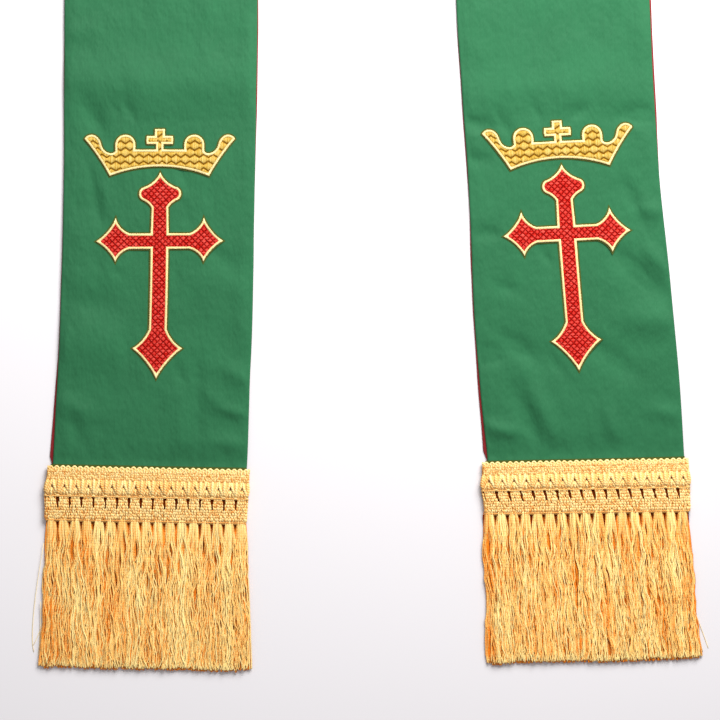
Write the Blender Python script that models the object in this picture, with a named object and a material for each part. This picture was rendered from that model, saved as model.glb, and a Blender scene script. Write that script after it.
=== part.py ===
"""Clerical stole, laid flat.

Two lined halves meet at a mitred seam behind the neck. Each half carries a stitched crown over a
stitched cross, a braided heading across its hem, and a brush fringe below the heading.

Sizes are in millimetres. x runs across the two fronts, y from the fringes up to the neck, and z up from
the surface that the stole lies on. On each half, v is the height above the heading's lower edge, which
goes on as the distance along the cloth past the bend of the neck, and u is the distance from the middle
of the cloth, positive to the right.
"""

import math
import random
from typing import NamedTuple

import bmesh
import bpy
from mathutils import Vector

MM = 0.001
SEAM_GAP = 0.3

# The neck: each front bends inwards, then runs straight to the seam at the centre back.
BEND_Y = 1080.0
BEND_RADIUS = 110.0
BEND_ANGLE = math.radians(60)
BEND_STEPS = 7
MITRE_STEPS = 3
NECK_X = 100.0

# Cloth walls, from the surface up.
LINING_THICK = 1.0
FACE_BASE = LINING_THICK + SEAM_GAP
FACE_THICK = 1.2
FACE_TOP = FACE_BASE + FACE_THICK
PUFF = 0.5
PUFF_RISE = 10.0
EDGE_ROLL = 0.25
EDGE_ROLL_WIDTH = 3.0
FOLD_AT_EDGE = 0.3
HEM_V = 3.0
LOW_PITCH = 10.0
LOW_END = 330.0
HIGH_PITCH = 36.0
LINING_PITCH = 24.0
FACE_COLUMNS = (-1.0, -0.94, -0.78, -0.56, -0.34, -0.12, 0.12, 0.34, 0.56, 0.78, 0.94, 1.0)

# Stitched emblems.
EMBLEM_THICK = 0.9
BORDER_WIDTH = 1.5
FILL_DROP = 0.3
CALM_MARGIN = 7.0
MITRE_LIMIT = 0.35

# Braided heading.
HEADING_HEIGHT = 33.3
HEADING_CLEAR = 3.0
HEADING_FADE = 14.0
HEADING_BASE = FACE_TOP + SEAM_GAP
HEADING_END_Z = 0.5
HEADING_ROUND = 0.7
HEADING_LEG_CLEAR = 0.5
REPEATS = 17
COLUMNS_PER_REPEAT = 4
LOOP_DIP = 2.0

# The lining starts to show just above the heading.
PEEK_START_V = HEADING_HEIGHT + 1.0
PEEK_FULL_V = HEADING_HEIGHT + 4.0

# Brush fringe, measured down from the heading's lower edge.
STRIP_HEIGHT = 2.0
STRIP_BASE = 1.2
STRIP_THICK = 3.2
ROOT_DOWN = 1.2
LOCKS_PER_BUNCH = 2
BUNCH_SPREAD = 2.9
LOCK_MARGIN = 2.0
TRIM_SHORT = 1.5
TRIM_LONG = 0.5
LOCK_SEED = 12

# Facets that lie within these of the heading's plain underside are merged.
FLAT_DISTANCE = 1e-7
FLAT_ANGLE = math.radians(0.5)

GREEN = (0.045, 0.20, 0.09)
LINING_RED = (0.30, 0.03, 0.03)
CROSS_RED = (0.55, 0.03, 0.02)
CROWN_GOLD = (0.68, 0.38, 0.07)
BRAID_GOLD = (0.70, 0.42, 0.14)
FRINGE_GOLD = (0.75, 0.46, 0.14)
CLOTH_ROUGHNESS = 0.55
THREAD_ROUGHNESS = 0.45


class Station(NamedTuple):
    """A row across a half: its height, its middle, its width and its rise to the right."""

    v: float
    x: float
    width: float
    rise: float


class Peek(NamedTuple):
    """How far the lining shows past the left and right edges of the face cloth."""

    v: float
    left: float
    right: float


class Fold(NamedTuple):
    """A soft ridge: its middle, the way it runs, its length, its breadth and its height."""

    v: float
    u: float
    turn: float
    length: float
    breadth: float
    height: float


class Corner(NamedTuple):
    """A corner of a half outline, and the bow of the line from it to the next corner."""

    x: float
    y: float
    bow: float = 0.0
    steps: int = 1


class Zone(NamedTuple):
    """A stretch of cloth that stitching keeps flat."""

    low: float
    high: float
    reach: float


class Band(NamedTuple):
    """A row of the tallest heading: its thickness at the gaps, beside them and between them."""

    v: float
    gap: float
    side: float
    middle: float


class Layer(NamedTuple):
    """A layer of fringe locks: its height at the root and on the surface, and its side shift."""

    root_z: float
    z: float
    shift: float
    shorter: float


class Half(NamedTuple):
    """One half of the stole."""

    name: str
    side: int
    foot: float
    stations: tuple
    peeks: tuple
    folds: tuple
    crown_v: float
    crown_u: float
    cross_v: float
    cross_u: float
    heading_height: float
    heading_width: float
    fringe_root: float
    fringe_tip: float
    fringe_lean: float
    fringe_lengths: tuple


class Row(NamedTuple):
    """A row of cloth between its left and right ends."""

    v: float
    left: Vector
    right: Vector


CROWN = (
    Corner(0.0, 0.0, -1.45, 5),
    Corner(30.1, -5.8, -0.7, 3),
    Corner(46.2, 17.2, 1.2, 3),
    Corner(38.5, 18.4, 0.8, 3),
    Corner(35.0, 13.4, -1.6, 3),
    Corner(29.3, 7.5),
    Corner(26.4, 10.4, 2.9, 4),
    Corner(20.7, 19.4, 2.8, 4),
    Corner(14.9, 10.7),
    Corner(2.3, 10.7),
    Corner(2.3, 13.8),
    Corner(7.9, 13.8, 0.5, 2),
    Corner(7.9, 19.0),
    Corner(3.1, 19.0),
    Corner(3.1, 23.2),
    Corner(0.0, 23.2),
)

CROSS = (
    Corner(0.0, -85.4, -1.3, 4),
    Corner(15.5, -66.0, -1.3, 4),
    Corner(5.5, -54.5),
    Corner(5.5, -4.9),
    Corner(18.8, -4.9, -1.4, 4),
    Corner(27.4, -13.8, -1.3, 4),
    Corner(39.2, 0.0, -1.3, 4),
    Corner(27.4, 13.8, -1.4, 4),
    Corner(18.8, 4.9),
    Corner(5.5, 4.9),
    Corner(5.2, 20.5, -0.6, 2),
    Corner(11.2, 25.2, 2.0, 4),
    Corner(11.0, 32.8, -1.6, 4),
    Corner(0.0, 42.0),
)

# Stretches under the stitching, from the crown's lower edge and from the middle of the cross.
CROWN_ZONE = Zone(-7.0, 25.0, 48.0)
CROSS_ZONES = (Zone(-87.0, 44.0, 17.0), Zone(-15.0, 15.0, 41.0))

BANDS = (
    Band(0.0, 1.5, 1.5, 1.5),
    Band(0.5, 2.1, 2.1, 2.1),
    Band(1.4, 1.4, 1.8, 1.6),
    Band(4.6, 1.5, 2.0, 1.8),
    Band(8.1, 1.4, 1.9, 1.9),
    Band(8.8, 0.8, 1.7, 1.9),
    Band(13.4, 0.6, 1.6, 1.9),
    Band(14.2, 1.9, 1.8, 1.8),
    Band(15.0, 2.1, 2.0, 2.0),
    Band(16.4, 1.8, 1.9, 1.7),
    Band(20.6, 2.0, 1.6, 0.7),
    Band(24.4, 2.0, 1.9, 1.8),
    Band(30.1, 1.7, 2.0, 1.7),
    Band(HEADING_HEIGHT, 1.0, 1.0, 1.0),
)

LAYERS = (
    Layer(1.9, 0.85, -1.2, 2.5),
    Layer(2.8, 2.1, 0.0, 1.0),
    Layer(3.8, 3.35, 1.2, 0.0),
)

# Points down a lock: distance from the root as a share of its length, half breadth, half thickness,
# how far it has left its bunch, and how far it may wander sideways.
LOCK_POINTS = (
    (0.0, 1.05, 0.4, 0.0, 0.0),
    (0.22, 1.15, 0.45, 0.45, 0.2),
    (0.6, 1.2, 0.45, 0.85, 0.4),
    (1.0, 0.8, 0.4, 1.0, 0.55),
)

LEFT = Half(
    name="left",
    side=-1,
    foot=0.0,
    stations=(
        Station(0.0, -127.0, 118.5, -0.020),
        Station(36.0, -124.9, 118.8, -0.019),
        Station(81.0, -122.8, 118.0, -0.013),
        Station(136.0, -120.6, 117.5, -0.005),
        Station(210.0, -119.1, 117.0, 0.0),
        Station(320.0, -117.9, 118.0, 0.0),
        Station(600.0, -112.0, 114.0, 0.0),
        Station(900.0, -104.0, 102.0, 0.0),
        Station(1080.0, -NECK_X, 95.0, 0.0),
    ),
    peeks=(
        Peek(PEEK_START_V, 0.0, 0.0),
        Peek(PEEK_FULL_V, 2.0, -0.3),
        Peek(110.0, 1.4, -0.3),
        Peek(150.0, -0.3, -0.3),
        Peek(175.0, -0.3, 0.9),
        Peek(300.0, -0.3, 0.9),
        Peek(400.0, -0.3, -0.3),
    ),
    folds=(
        Fold(261.0, 0.0, -5.0, 125.0, 26.0, 1.0),
        Fold(290.0, -34.0, 70.0, 60.0, 12.0, 0.7),
        Fold(252.0, -26.0, -40.0, 34.0, 9.0, 0.7),
        Fold(196.0, -44.0, -80.0, 52.0, 9.0, 0.7),
        Fold(206.0, 47.0, 84.0, 46.0, 9.0, 0.6),
        Fold(98.0, -38.0, -14.0, 44.0, 14.0, 0.9),
        Fold(62.0, 34.0, -85.0, 40.0, 11.0, 1.0),
        Fold(70.0, -46.0, 80.0, 46.0, 9.0, 0.8),
        Fold(430.0, 18.0, 62.0, 120.0, 22.0, 1.0),
        Fold(560.0, -16.0, -66.0, 130.0, 20.0, 0.9),
        Fold(720.0, 12.0, 74.0, 150.0, 18.0, 1.0),
        Fold(900.0, -14.0, 82.0, 140.0, 16.0, 0.9),
        Fold(1120.0, -22.0, 86.0, 120.0, 16.0, 1.1),
        Fold(1190.0, 16.0, 80.0, 90.0, 14.0, 0.9),
    ),
    crown_v=217.6,
    crown_u=0.3,
    cross_v=172.3,
    cross_u=0.6,
    heading_height=HEADING_HEIGHT,
    heading_width=124.0,
    fringe_root=121.5,
    fringe_tip=130.0,
    fringe_lean=-0.012,
    fringe_lengths=(87.0, 84.5, 90.0),
)

RIGHT = Half(
    name="right",
    side=1,
    foot=5.6,
    stations=(
        Station(0.0, 143.3, 120.5, 0.016),
        Station(32.0, 141.9, 120.5, 0.022),
        Station(75.0, 138.4, 122.0, 0.030),
        Station(130.0, 133.8, 121.5, 0.035),
        Station(200.0, 128.8, 117.0, 0.043),
        Station(250.0, 125.2, 117.3, 0.042),
        Station(314.0, 121.6, 118.0, 0.020),
        Station(450.0, 117.0, 117.0, 0.0),
        Station(680.0, 111.5, 111.0, 0.0),
        Station(900.0, 105.0, 102.0, 0.0),
        Station(1080.0 - 5.6, NECK_X, 95.0, 0.0),
    ),
    peeks=(
        Peek(PEEK_START_V, 0.0, 0.0),
        Peek(PEEK_FULL_V, 2.2, -0.3),
        Peek(110.0, 1.8, -0.3),
        Peek(160.0, 1.0, 0.9),
        Peek(210.0, 0.8, 1.6),
        Peek(300.0, 0.6, 1.6),
        Peek(400.0, -0.3, -0.3),
    ),
    folds=(
        Fold(254.0, 0.0, 2.0, 125.0, 26.0, 1.0),
        Fold(296.0, 30.0, 64.0, 60.0, 12.0, 0.7),
        Fold(146.0, 42.0, -52.0, 58.0, 13.0, 1.0),
        Fold(56.0, -24.0, -68.0, 42.0, 11.0, 1.0),
        Fold(108.0, -42.0, -15.0, 40.0, 13.0, 0.9),
        Fold(60.0, 24.0, 82.0, 40.0, 11.0, 0.9),
        Fold(206.0, -50.0, 86.0, 46.0, 9.0, 0.6),
        Fold(440.0, -20.0, 116.0, 120.0, 22.0, 1.0),
        Fold(580.0, 14.0, 68.0, 130.0, 20.0, 0.9),
        Fold(735.0, -10.0, 104.0, 150.0, 18.0, 1.0),
        Fold(905.0, 16.0, 96.0, 140.0, 16.0, 0.9),
        Fold(1120.0, 22.0, 92.0, 120.0, 16.0, 1.1),
        Fold(1186.0, -14.0, 98.0, 90.0, 14.0, 0.9),
    ),
    crown_v=217.1,
    crown_u=-0.8,
    cross_v=171.0,
    cross_u=-0.3,
    heading_height=32.1,
    heading_width=127.0,
    fringe_root=126.0,
    fringe_tip=134.0,
    fringe_lean=0.062,
    fringe_lengths=(88.5, 86.0, 87.5),
)


def ease(share):
    """Rise smoothly from 0 to 1 as share goes from 0 to 1."""
    share = min(1.0, max(0.0, share))
    return share * share * (3.0 - 2.0 * share)


def between(table, v):
    """Values of the table at v, on a smooth curve through its rows."""
    i = max(0, min(len(table) - 2, sum(row.v <= v for row in table) - 1))
    low, high = table[i], table[i + 1]
    before, after = table[max(0, i - 1)], table[min(len(table) - 1, i + 2)]
    span = high.v - low.v
    f = min(1.0, max(0.0, (v - low.v) / span))
    values = []
    for k in range(1, len(low)):
        leave = (high[k] - before[k]) / (high.v - before.v) * span
        arrive = (after[k] - low[k]) / (after.v - low.v) * span
        values.append(
            low[k]
            + f * leave
            + f * f * (3.0 * (high[k] - low[k]) - 2.0 * leave - arrive)
            + f * f * f * (2.0 * (low[k] - high[k]) + leave + arrive)
        )
    return values


def along(table, v):
    """Values of the table at v, on straight lines between its rows."""
    i = max(0, min(len(table) - 2, sum(row.v <= v for row in table) - 1))
    low, high = table[i], table[i + 1]
    f = min(1.0, max(0.0, (v - low.v) / (high.v - low.v)))
    return [low[k] + f * (high[k] - low[k]) for k in range(1, len(low))]


def place(half, v, u):
    """Point of the flat cloth at height v and distance u from its middle."""
    x, _, rise = between(half.stations, v)
    across = Vector((1.0, rise)).normalized()
    return Vector((x, half.foot + v)) + across * u


def level_row(half, v):
    """Row of a front at height v."""
    reach = between(half.stations, v)[1] / 2
    return Row(v, place(half, v, -reach), place(half, v, reach))


def neck_rows(half):
    """Rows round the bend of the neck and on to the mitred seam."""
    bend_v = BEND_Y - half.foot
    reach = half.stations[-1].width / 2
    pivot = Vector((half.side * (NECK_X - BEND_RADIUS), BEND_Y))
    rows = []
    for step in range(1, BEND_STEPS + 1):
        angle = BEND_ANGLE * step / BEND_STEPS
        out = Vector((half.side * math.cos(angle), math.sin(angle)))
        inner = pivot + out * (BEND_RADIUS - reach)
        outer = pivot + out * (BEND_RADIUS + reach)
        rows.append((bend_v + BEND_RADIUS * angle, inner, outer))
    bent_v, inner, outer = rows[-1]
    heading = Vector((-half.side * math.sin(BEND_ANGLE), math.cos(BEND_ANGLE)))
    seam_x = half.side * SEAM_GAP / 2
    inner_run = (seam_x - inner.x) / heading.x
    outer_run = (seam_x - outer.x) / heading.x
    for step in range(1, MITRE_STEPS + 1):
        share = step / MITRE_STEPS
        run = share * (inner_run + outer_run) / 2
        rows.append((bent_v + run, inner + heading * inner_run * share, outer + heading * outer_run * share))
    if half.side > 0:
        return [Row(v, inner, outer) for v, inner, outer in rows]
    return [Row(v, outer, inner) for v, inner, outer in rows]


def cloth_rows(half, low_pitch, high_pitch):
    """All the rows of a half, from its hem to the seam."""
    heights = spaced(HEM_V, PEEK_START_V, low_pitch)
    heights += spaced(PEEK_FULL_V, LOW_END, low_pitch)
    heights += spaced(LOW_END, BEND_Y - half.foot, high_pitch)[1:]
    return [level_row(half, v) for v in heights] + neck_rows(half)


def spaced(start, end, pitch):
    """Even values from start to end, about a pitch apart."""
    count = max(1, round((end - start) / pitch))
    return [start + (end - start) * i / count for i in range(count + 1)]


def row_point(row, share):
    """Point of a row at a share from -1, its left end, to 1, its right end."""
    return row.left.lerp(row.right, (share + 1) / 2)


def zones(half):
    """Stretches of a half that its emblems keep flat, as heights on the cloth."""
    crown = Zone(half.crown_v + CROWN_ZONE.low, half.crown_v + CROWN_ZONE.high, CROWN_ZONE.reach)
    crosses = [Zone(half.cross_v + zone.low, half.cross_v + zone.high, zone.reach) for zone in CROSS_ZONES]
    return [crown, *crosses]


def calm(half, v, u):
    """1 on free cloth and 0 under the stitching."""
    free = 1.0
    for zone in zones(half):
        below = ease((v - zone.low) / CALM_MARGIN + 1)
        above = ease((zone.high - v) / CALM_MARGIN + 1)
        beside = ease((zone.reach - abs(u)) / CALM_MARGIN + 1)
        free *= 1 - below * above * beside
    return free


def fold_height(fold, v, u):
    """Height of one soft ridge at a point of the cloth."""
    turn = math.radians(fold.turn)
    rise, run = v - fold.v, u - fold.u
    lengthwise = (run * math.cos(turn) + rise * math.sin(turn)) / (fold.length / 2)
    crosswise = (rise * math.cos(turn) - run * math.sin(turn)) / (fold.breadth / 2)
    return fold.height * math.exp(-lengthwise * lengthwise - crosswise * crosswise)


def face_top(half, v, u, width):
    """Height of the face cloth's upper side: the puff between its edges, and its folds."""
    inset = width / 2 - abs(u)
    puff = PUFF * ease(inset / PUFF_RISE)
    folds = sum(fold_height(fold, v, u) for fold in half.folds) * ease(inset / PUFF_RISE + FOLD_AT_EDGE)
    roll = EDGE_ROLL * (1 - ease(inset / EDGE_ROLL_WIDTH))
    clear = ease((v - HEADING_HEIGHT - HEADING_CLEAR) / HEADING_FADE)
    return FACE_TOP - roll + clear * (puff + folds * calm(half, v, u))


def lifted(point, z):
    """Flat point raised to height z."""
    return Vector((point.x, point.y, z))


def new_object(name, mesh_data, colour, roughness):
    """Object with its own material."""
    mesh = bpy.data.meshes.new(name)
    bmesh.ops.recalc_face_normals(mesh_data, faces=mesh_data.faces)
    mesh_data.to_mesh(mesh)
    mesh_data.free()
    material = bpy.data.materials.new(name)
    material.use_nodes = True
    shader = material.node_tree.nodes["Principled BSDF"]
    shader.inputs["Base Color"].default_value = (*colour, 1.0)
    shader.inputs["Roughness"].default_value = roughness
    shader.inputs["Metallic"].default_value = 0.0
    mesh.materials.append(material)
    item = bpy.data.objects.new(name, mesh)
    bpy.context.scene.collection.objects.link(item)
    return item


def wall(top, bottom):
    """Closed solid between an upper and a lower grid with the same number of rows."""
    solid = bmesh.new()
    upper = [[solid.verts.new(point * MM) for point in row] for row in top]
    lower = [[solid.verts.new(point * MM) for point in row] for row in bottom]
    for grid in (upper, lower):
        for near, far in zip(grid, grid[1:]):
            for i in range(len(near) - 1):
                solid.faces.new((near[i], near[i + 1], far[i + 1], far[i]))
    for edge in (0, -1):
        for r in range(len(upper) - 1):
            solid.faces.new((upper[r][edge], upper[r + 1][edge], lower[r + 1][edge], lower[r][edge]))
    for end in (0, -1):
        if len(upper[end]) == len(lower[end]):
            for i in range(len(upper[end]) - 1):
                solid.faces.new((lower[end][i], lower[end][i + 1], upper[end][i + 1], upper[end][i]))
        else:
            solid.faces.new((*lower[end], *reversed(upper[end])))
    return solid


def make_lining(half):
    """Lining: a plain flat wall that shows past the face cloth where the peeks say."""
    top, bottom = [], []
    for row in cloth_rows(half, LINING_PITCH, 2 * LINING_PITCH):
        left, right = along(half.peeks, row.v)
        across = (row.right - row.left).normalized()
        ends = (row.left - across * left, row.right + across * right)
        top.append([lifted(end, LINING_THICK) for end in ends])
        bottom.append([lifted(end, 0.0) for end in ends])
    return new_object(f"lining_{half.name}", wall(top, bottom), LINING_RED, CLOTH_ROUGHNESS)


def make_face(half):
    """Face cloth: raised folds over a plain underside."""
    top, bottom = [], []
    for row in cloth_rows(half, LOW_PITCH, HIGH_PITCH):
        width = (row.right - row.left).length
        top.append(
            [
                lifted(row_point(row, share), face_top(half, row.v, share * width / 2, width))
                for share in FACE_COLUMNS
            ]
        )
        bottom.append([lifted(row.left, FACE_BASE), lifted(row.right, FACE_BASE)])
    return new_object(f"face_{half.name}", wall(top, bottom), GREEN, CLOTH_ROUGHNESS)


def outline(corners):
    """Closed outline from half of it, whose first and last corners lie on the axis."""
    points = []
    for start, end in zip(corners, corners[1:]):
        a, b = Vector((start.x, start.y)), Vector((end.x, end.y))
        chord = b - a
        outward = Vector((chord.y, -chord.x)).normalized()
        points.append(a)
        if start.bow:
            radius = (chord.length_squared / 4 + start.bow**2) / (2 * abs(start.bow))
            turn = 4 * math.atan(2 * abs(start.bow) / chord.length)
            for step in range(1, start.steps):
                angle = (step / start.steps - 0.5) * turn
                run = chord.normalized() * radius * math.sin(angle)
                swell = radius * math.cos(angle) - (radius - abs(start.bow))
                points.append((a + b) / 2 + run + outward * math.copysign(swell, start.bow))
    points.append(Vector((corners[-1].x, corners[-1].y)))
    mirrored = [Vector((-point.x, point.y)) for point in reversed(points[1:-1])]
    return points + mirrored


def inset(points, width):
    """Outline moved inwards by a width."""
    moved = []
    for i, point in enumerate(points):
        arrive = (point - points[i - 1]).normalized()
        leave = (points[(i + 1) % len(points)] - point).normalized()
        inward = Vector((-arrive.y - leave.y, arrive.x + leave.x)).normalized()
        moved.append(point + inward * width / max(MITRE_LIMIT, inward.dot(Vector((-arrive.y, arrive.x)))))
    return moved


def make_emblem(half, name, corners, v, u, colour):
    """Stitched emblem: a raised satin border round a lower fill, on the face cloth's points."""
    rim = outline(corners)
    fill = inset(rim, BORDER_WIDTH)
    width = between(half.stations, v)[1]
    base = face_top(half, v, 0.0, width) + SEAM_GAP
    rings = (
        (rim, base),
        (rim, base + EMBLEM_THICK),
        (fill, base + EMBLEM_THICK),
        (fill, base + EMBLEM_THICK - FILL_DROP),
    )
    solid = bmesh.new()
    loops = [
        [solid.verts.new(lifted(place(half, v + point.y, u + point.x), z) * MM) for point in points]
        for points, z in rings
    ]
    count = len(rim)
    for low, high in zip(loops, loops[1:]):
        for i in range(count):
            j = (i + 1) % count
            solid.faces.new((low[i], low[j], high[j], high[i]))
    solid.faces.new(loops[-1])
    solid.faces.new(tuple(reversed(loops[0])))
    return new_object(f"{name}_{half.name}", solid, colour, THREAD_ROUGHNESS)


def heading_row(half, band):
    """Upper and lower points of one row of the heading, whose ends turn down over the cloth's edges."""
    reach = half.heading_width / 2
    leg = half.stations[0].width / 2 + HEADING_LEG_CLEAR
    v = band.v * half.heading_height / HEADING_HEIGHT
    columns = REPEATS * COLUMNS_PER_REPEAT
    thickness = (band.gap, band.side, band.middle, band.side)
    upper, lower = [], []
    for i in range(columns + 1):
        u = (reach - HEADING_ROUND) * (2 * i / columns - 1)
        dip = LOOP_DIP if band is BANDS[-1] and i % 2 else 0.0
        point = place(half, v - dip, u)
        upper.append(lifted(point, HEADING_BASE + thickness[i % COLUMNS_PER_REPEAT]))
        lower.append(lifted(point, HEADING_BASE))
    rims, legs = [], []
    for side in (-1, 1):
        rim = place(half, v, side * reach)
        inner = place(half, v, side * leg)
        rims.append(lifted(rim, HEADING_BASE + HEADING_ROUND))
        legs.append([lifted(rim, HEADING_END_Z), lifted(inner, HEADING_END_Z), lifted(inner, HEADING_BASE)])
    return [rims[0], *upper, rims[1]], [*legs[0], *lower[2:-2], *reversed(legs[1])]


def merge_flat(solid, z):
    """Merge the facets that lie flat at height z."""
    flat = [face for face in solid.faces if all(abs(vert.co.z - z) < FLAT_DISTANCE for vert in face.verts)]
    edges = {edge for face in flat for edge in face.edges}
    verts = {vert for face in flat for vert in face.verts}
    bmesh.ops.dissolve_limit(
        solid,
        angle_limit=FLAT_ANGLE,
        use_dissolve_boundaries=False,
        verts=list(verts),
        edges=list(edges),
    )


def make_heading(half):
    """Braided heading: ribbed on top and plain below."""
    rows = [heading_row(half, band) for band in BANDS]
    solid = wall([upper for upper, _ in rows], [lower for _, lower in rows])
    merge_flat(solid, HEADING_BASE * MM)
    return new_object(f"braid_{half.name}", solid, BRAID_GOLD, THREAD_ROUGHNESS)


def fringe_point(half, u, down):
    """Point of the flat fringe, a distance down from the heading's lower edge."""
    x, _, rise = between(half.stations, 0.0)
    across = Vector((1.0, rise)).normalized()
    return Vector((x, half.foot)) + across * u + Vector((half.fringe_lean, -1.0)) * down


def lock_sections(half, layer, index, chance):
    """Middle, half breadth and half thickness of a lock at each of its points."""
    bunch, member = divmod(index, LOCKS_PER_BUNCH)
    count = REPEATS * LOCKS_PER_BUNCH
    in_bunch = (bunch + 0.5) / REPEATS - 0.5
    fanned = (index + 0.5) / count - 0.5
    root_u = in_bunch * half.fringe_root + (member - (LOCKS_PER_BUNCH - 1) / 2) * BUNCH_SPREAD
    tip_u = fanned * (half.fringe_tip - 2 * LOCK_MARGIN) + layer.shift
    left, middle, right = half.fringe_lengths
    side = right if fanned > 0 else left
    trim = chance.uniform(-TRIM_SHORT, TRIM_LONG) - layer.shorter
    length = middle + (side - middle) * (2 * fanned) ** 2 + trim
    sections = []
    for share, breadth, thickness, fan, wander in LOCK_POINTS:
        u = root_u + (tip_u - root_u) * fan + chance.uniform(-wander, wander)
        down = ROOT_DOWN + (length - ROOT_DOWN) * share
        z = layer.root_z if share == 0 else layer.z
        sections.append((lifted(fringe_point(half, u, down), z), breadth, thickness))
    return sections


def make_locks(half):
    """All the locks of one fringe, each a tapering four-sided bar, for the strip to join."""
    chance = random.Random(LOCK_SEED + half.side)
    solid = bmesh.new()
    for layer in LAYERS:
        for index in range(REPEATS * LOCKS_PER_BUNCH):
            rings = []
            for middle, breadth, thickness in lock_sections(half, layer, index, chance):
                rings.append(
                    [
                        solid.verts.new((middle + Vector((x * breadth, 0.0, z * thickness))) * MM)
                        for x, z in ((-1, -1), (1, -1), (1, 1), (-1, 1))
                    ]
                )
            for near, far in zip(rings, rings[1:]):
                for i in range(4):
                    j = (i + 1) % 4
                    solid.faces.new((near[i], near[j], far[j], far[i]))
            solid.faces.new(tuple(reversed(rings[0])))
            solid.faces.new(rings[-1])
    locks = new_object(f"locks_{half.name}", solid, FRINGE_GOLD, THREAD_ROUGHNESS)
    locks.hide_render = True
    locks.display_type = "WIRE"
    return locks


def make_fringe(half):
    """Brush fringe: a narrow strip below the heading, and the locks that it holds by their roots."""
    reach = half.fringe_root / 2
    near, far = SEAM_GAP, SEAM_GAP + STRIP_HEIGHT
    rows = [[fringe_point(half, -reach, down), fringe_point(half, reach, down)] for down in (far, near)]
    top = [[lifted(point, STRIP_BASE + STRIP_THICK) for point in row] for row in rows]
    bottom = [[lifted(point, STRIP_BASE) for point in row] for row in rows]
    fringe = new_object(f"fringe_{half.name}", wall(top, bottom), FRINGE_GOLD, THREAD_ROUGHNESS)
    join = fringe.modifiers.new("join_locks", "BOOLEAN")
    join.operation = "UNION"
    join.solver = "EXACT"
    join.object = make_locks(half)
    return fringe


def evaluated_bounds(items):
    """Lowest and highest corner of the objects, with their modifiers."""
    bpy.context.view_layer.update()
    graph = bpy.context.evaluated_depsgraph_get()
    corners = []
    for item in items:
        ready = item.evaluated_get(graph)
        mesh = ready.to_mesh()
        corners += [item.matrix_world @ vert.co for vert in mesh.vertices]
        ready.to_mesh_clear()
    low = Vector(min(corner[k] for corner in corners) for k in range(3))
    high = Vector(max(corner[k] for corner in corners) for k in range(3))
    return low, high


def stand_on_origin(items):
    """Put the origin at the middle of the whole stole, on the surface it lies on."""
    low, high = evaluated_bounds(items)
    middle = (low + high) / 2
    anchor = bpy.data.objects.new("stole", None)
    anchor.location = (-middle.x, -middle.y, 0.0)
    bpy.context.scene.collection.objects.link(anchor)
    for item in bpy.context.scene.objects:
        if item is not anchor:
            item.parent = anchor


def main():
    for item in list(bpy.data.objects):
        bpy.data.objects.remove(item)
    pieces = []
    for half in (LEFT, RIGHT):
        pieces.append(make_lining(half))
        pieces.append(make_face(half))
        pieces.append(make_emblem(half, "cross", CROSS, half.cross_v, half.cross_u, CROSS_RED))
        pieces.append(make_emblem(half, "crown", CROWN, half.crown_v, half.crown_u, CROWN_GOLD))
        pieces.append(make_heading(half))
        pieces.append(make_fringe(half))
    stand_on_origin(pieces)


main()
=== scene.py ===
"""Clerical stole, laid flat: cloth, lining, stitched emblems, braided headings and brush fringes.

Sizes are in millimetres up to the meshes, which are in metres. On each half, v is the height above the
heading's lower edge and goes on as the distance along the cloth past the bend of the neck, and u is the
distance from the middle of the cloth, positive to the right.
"""

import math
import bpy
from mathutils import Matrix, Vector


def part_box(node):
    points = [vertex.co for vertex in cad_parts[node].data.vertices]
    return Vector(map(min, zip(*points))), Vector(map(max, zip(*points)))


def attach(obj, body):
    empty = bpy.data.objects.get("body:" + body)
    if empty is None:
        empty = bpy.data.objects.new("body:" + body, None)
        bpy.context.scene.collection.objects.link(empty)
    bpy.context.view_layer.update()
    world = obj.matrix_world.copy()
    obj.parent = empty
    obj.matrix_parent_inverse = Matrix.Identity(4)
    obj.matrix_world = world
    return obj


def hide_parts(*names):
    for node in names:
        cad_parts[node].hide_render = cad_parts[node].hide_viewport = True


bl_info = {
    "name": "Clerical Stole",
    "version": (1, 0, 0),
    "blender": (4, 5, 0),
    "location": "3D View > Sidebar > Stole",
    "description": "Dresses a clerical stole with cloth, stitching, braid and fringe",
    "category": "Object",
}

from typing import NamedTuple

import bpy
import numpy as np
from mathutils import Vector

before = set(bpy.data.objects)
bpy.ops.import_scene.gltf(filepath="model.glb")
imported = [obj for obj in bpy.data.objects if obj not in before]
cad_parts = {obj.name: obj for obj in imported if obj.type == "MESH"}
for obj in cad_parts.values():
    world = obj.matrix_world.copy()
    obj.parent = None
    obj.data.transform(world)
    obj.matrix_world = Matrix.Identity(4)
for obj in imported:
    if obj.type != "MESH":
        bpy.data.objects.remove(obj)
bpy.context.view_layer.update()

MM = 0.001
BODY = "root"

# The cut and the layers, as the solids have them.
SEAM_GAP = 0.3
BEND_Y = 1080.0
BEND_RADIUS = 110.0
BEND_ANGLE = math.radians(60)
NECK_X = 100.0
LINING_THICK = 1.0
FACE_BASE = LINING_THICK + SEAM_GAP
FACE_TOP = FACE_BASE + 1.2
PUFF = 0.5
PUFF_RISE = 6.0
FOLD_AT_EDGE = 0.3
HEM_V = 3.0
LOW_ROWS_END = 330.0
CALM_MARGIN = 7.0
EMBLEM_BASE = FACE_TOP + PUFF + SEAM_GAP
HEADING_HEIGHT = 33.3
HEADING_CLEAR = 3.0
HEADING_FADE = 14.0
HEADING_BASE = FACE_TOP + SEAM_GAP
HEADING_ROUND = 0.7
REPEATS = 17
UP = np.array((0.0, 0.0, 1.0))


class Station(NamedTuple):
    """A row across a half: its height, its middle, its width and its rise to the right."""

    v: float
    x: float
    width: float
    rise: float


class Peek(NamedTuple):
    """How far the lining shows past the left and right edges of the face cloth."""

    v: float
    left: float
    right: float


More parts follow.
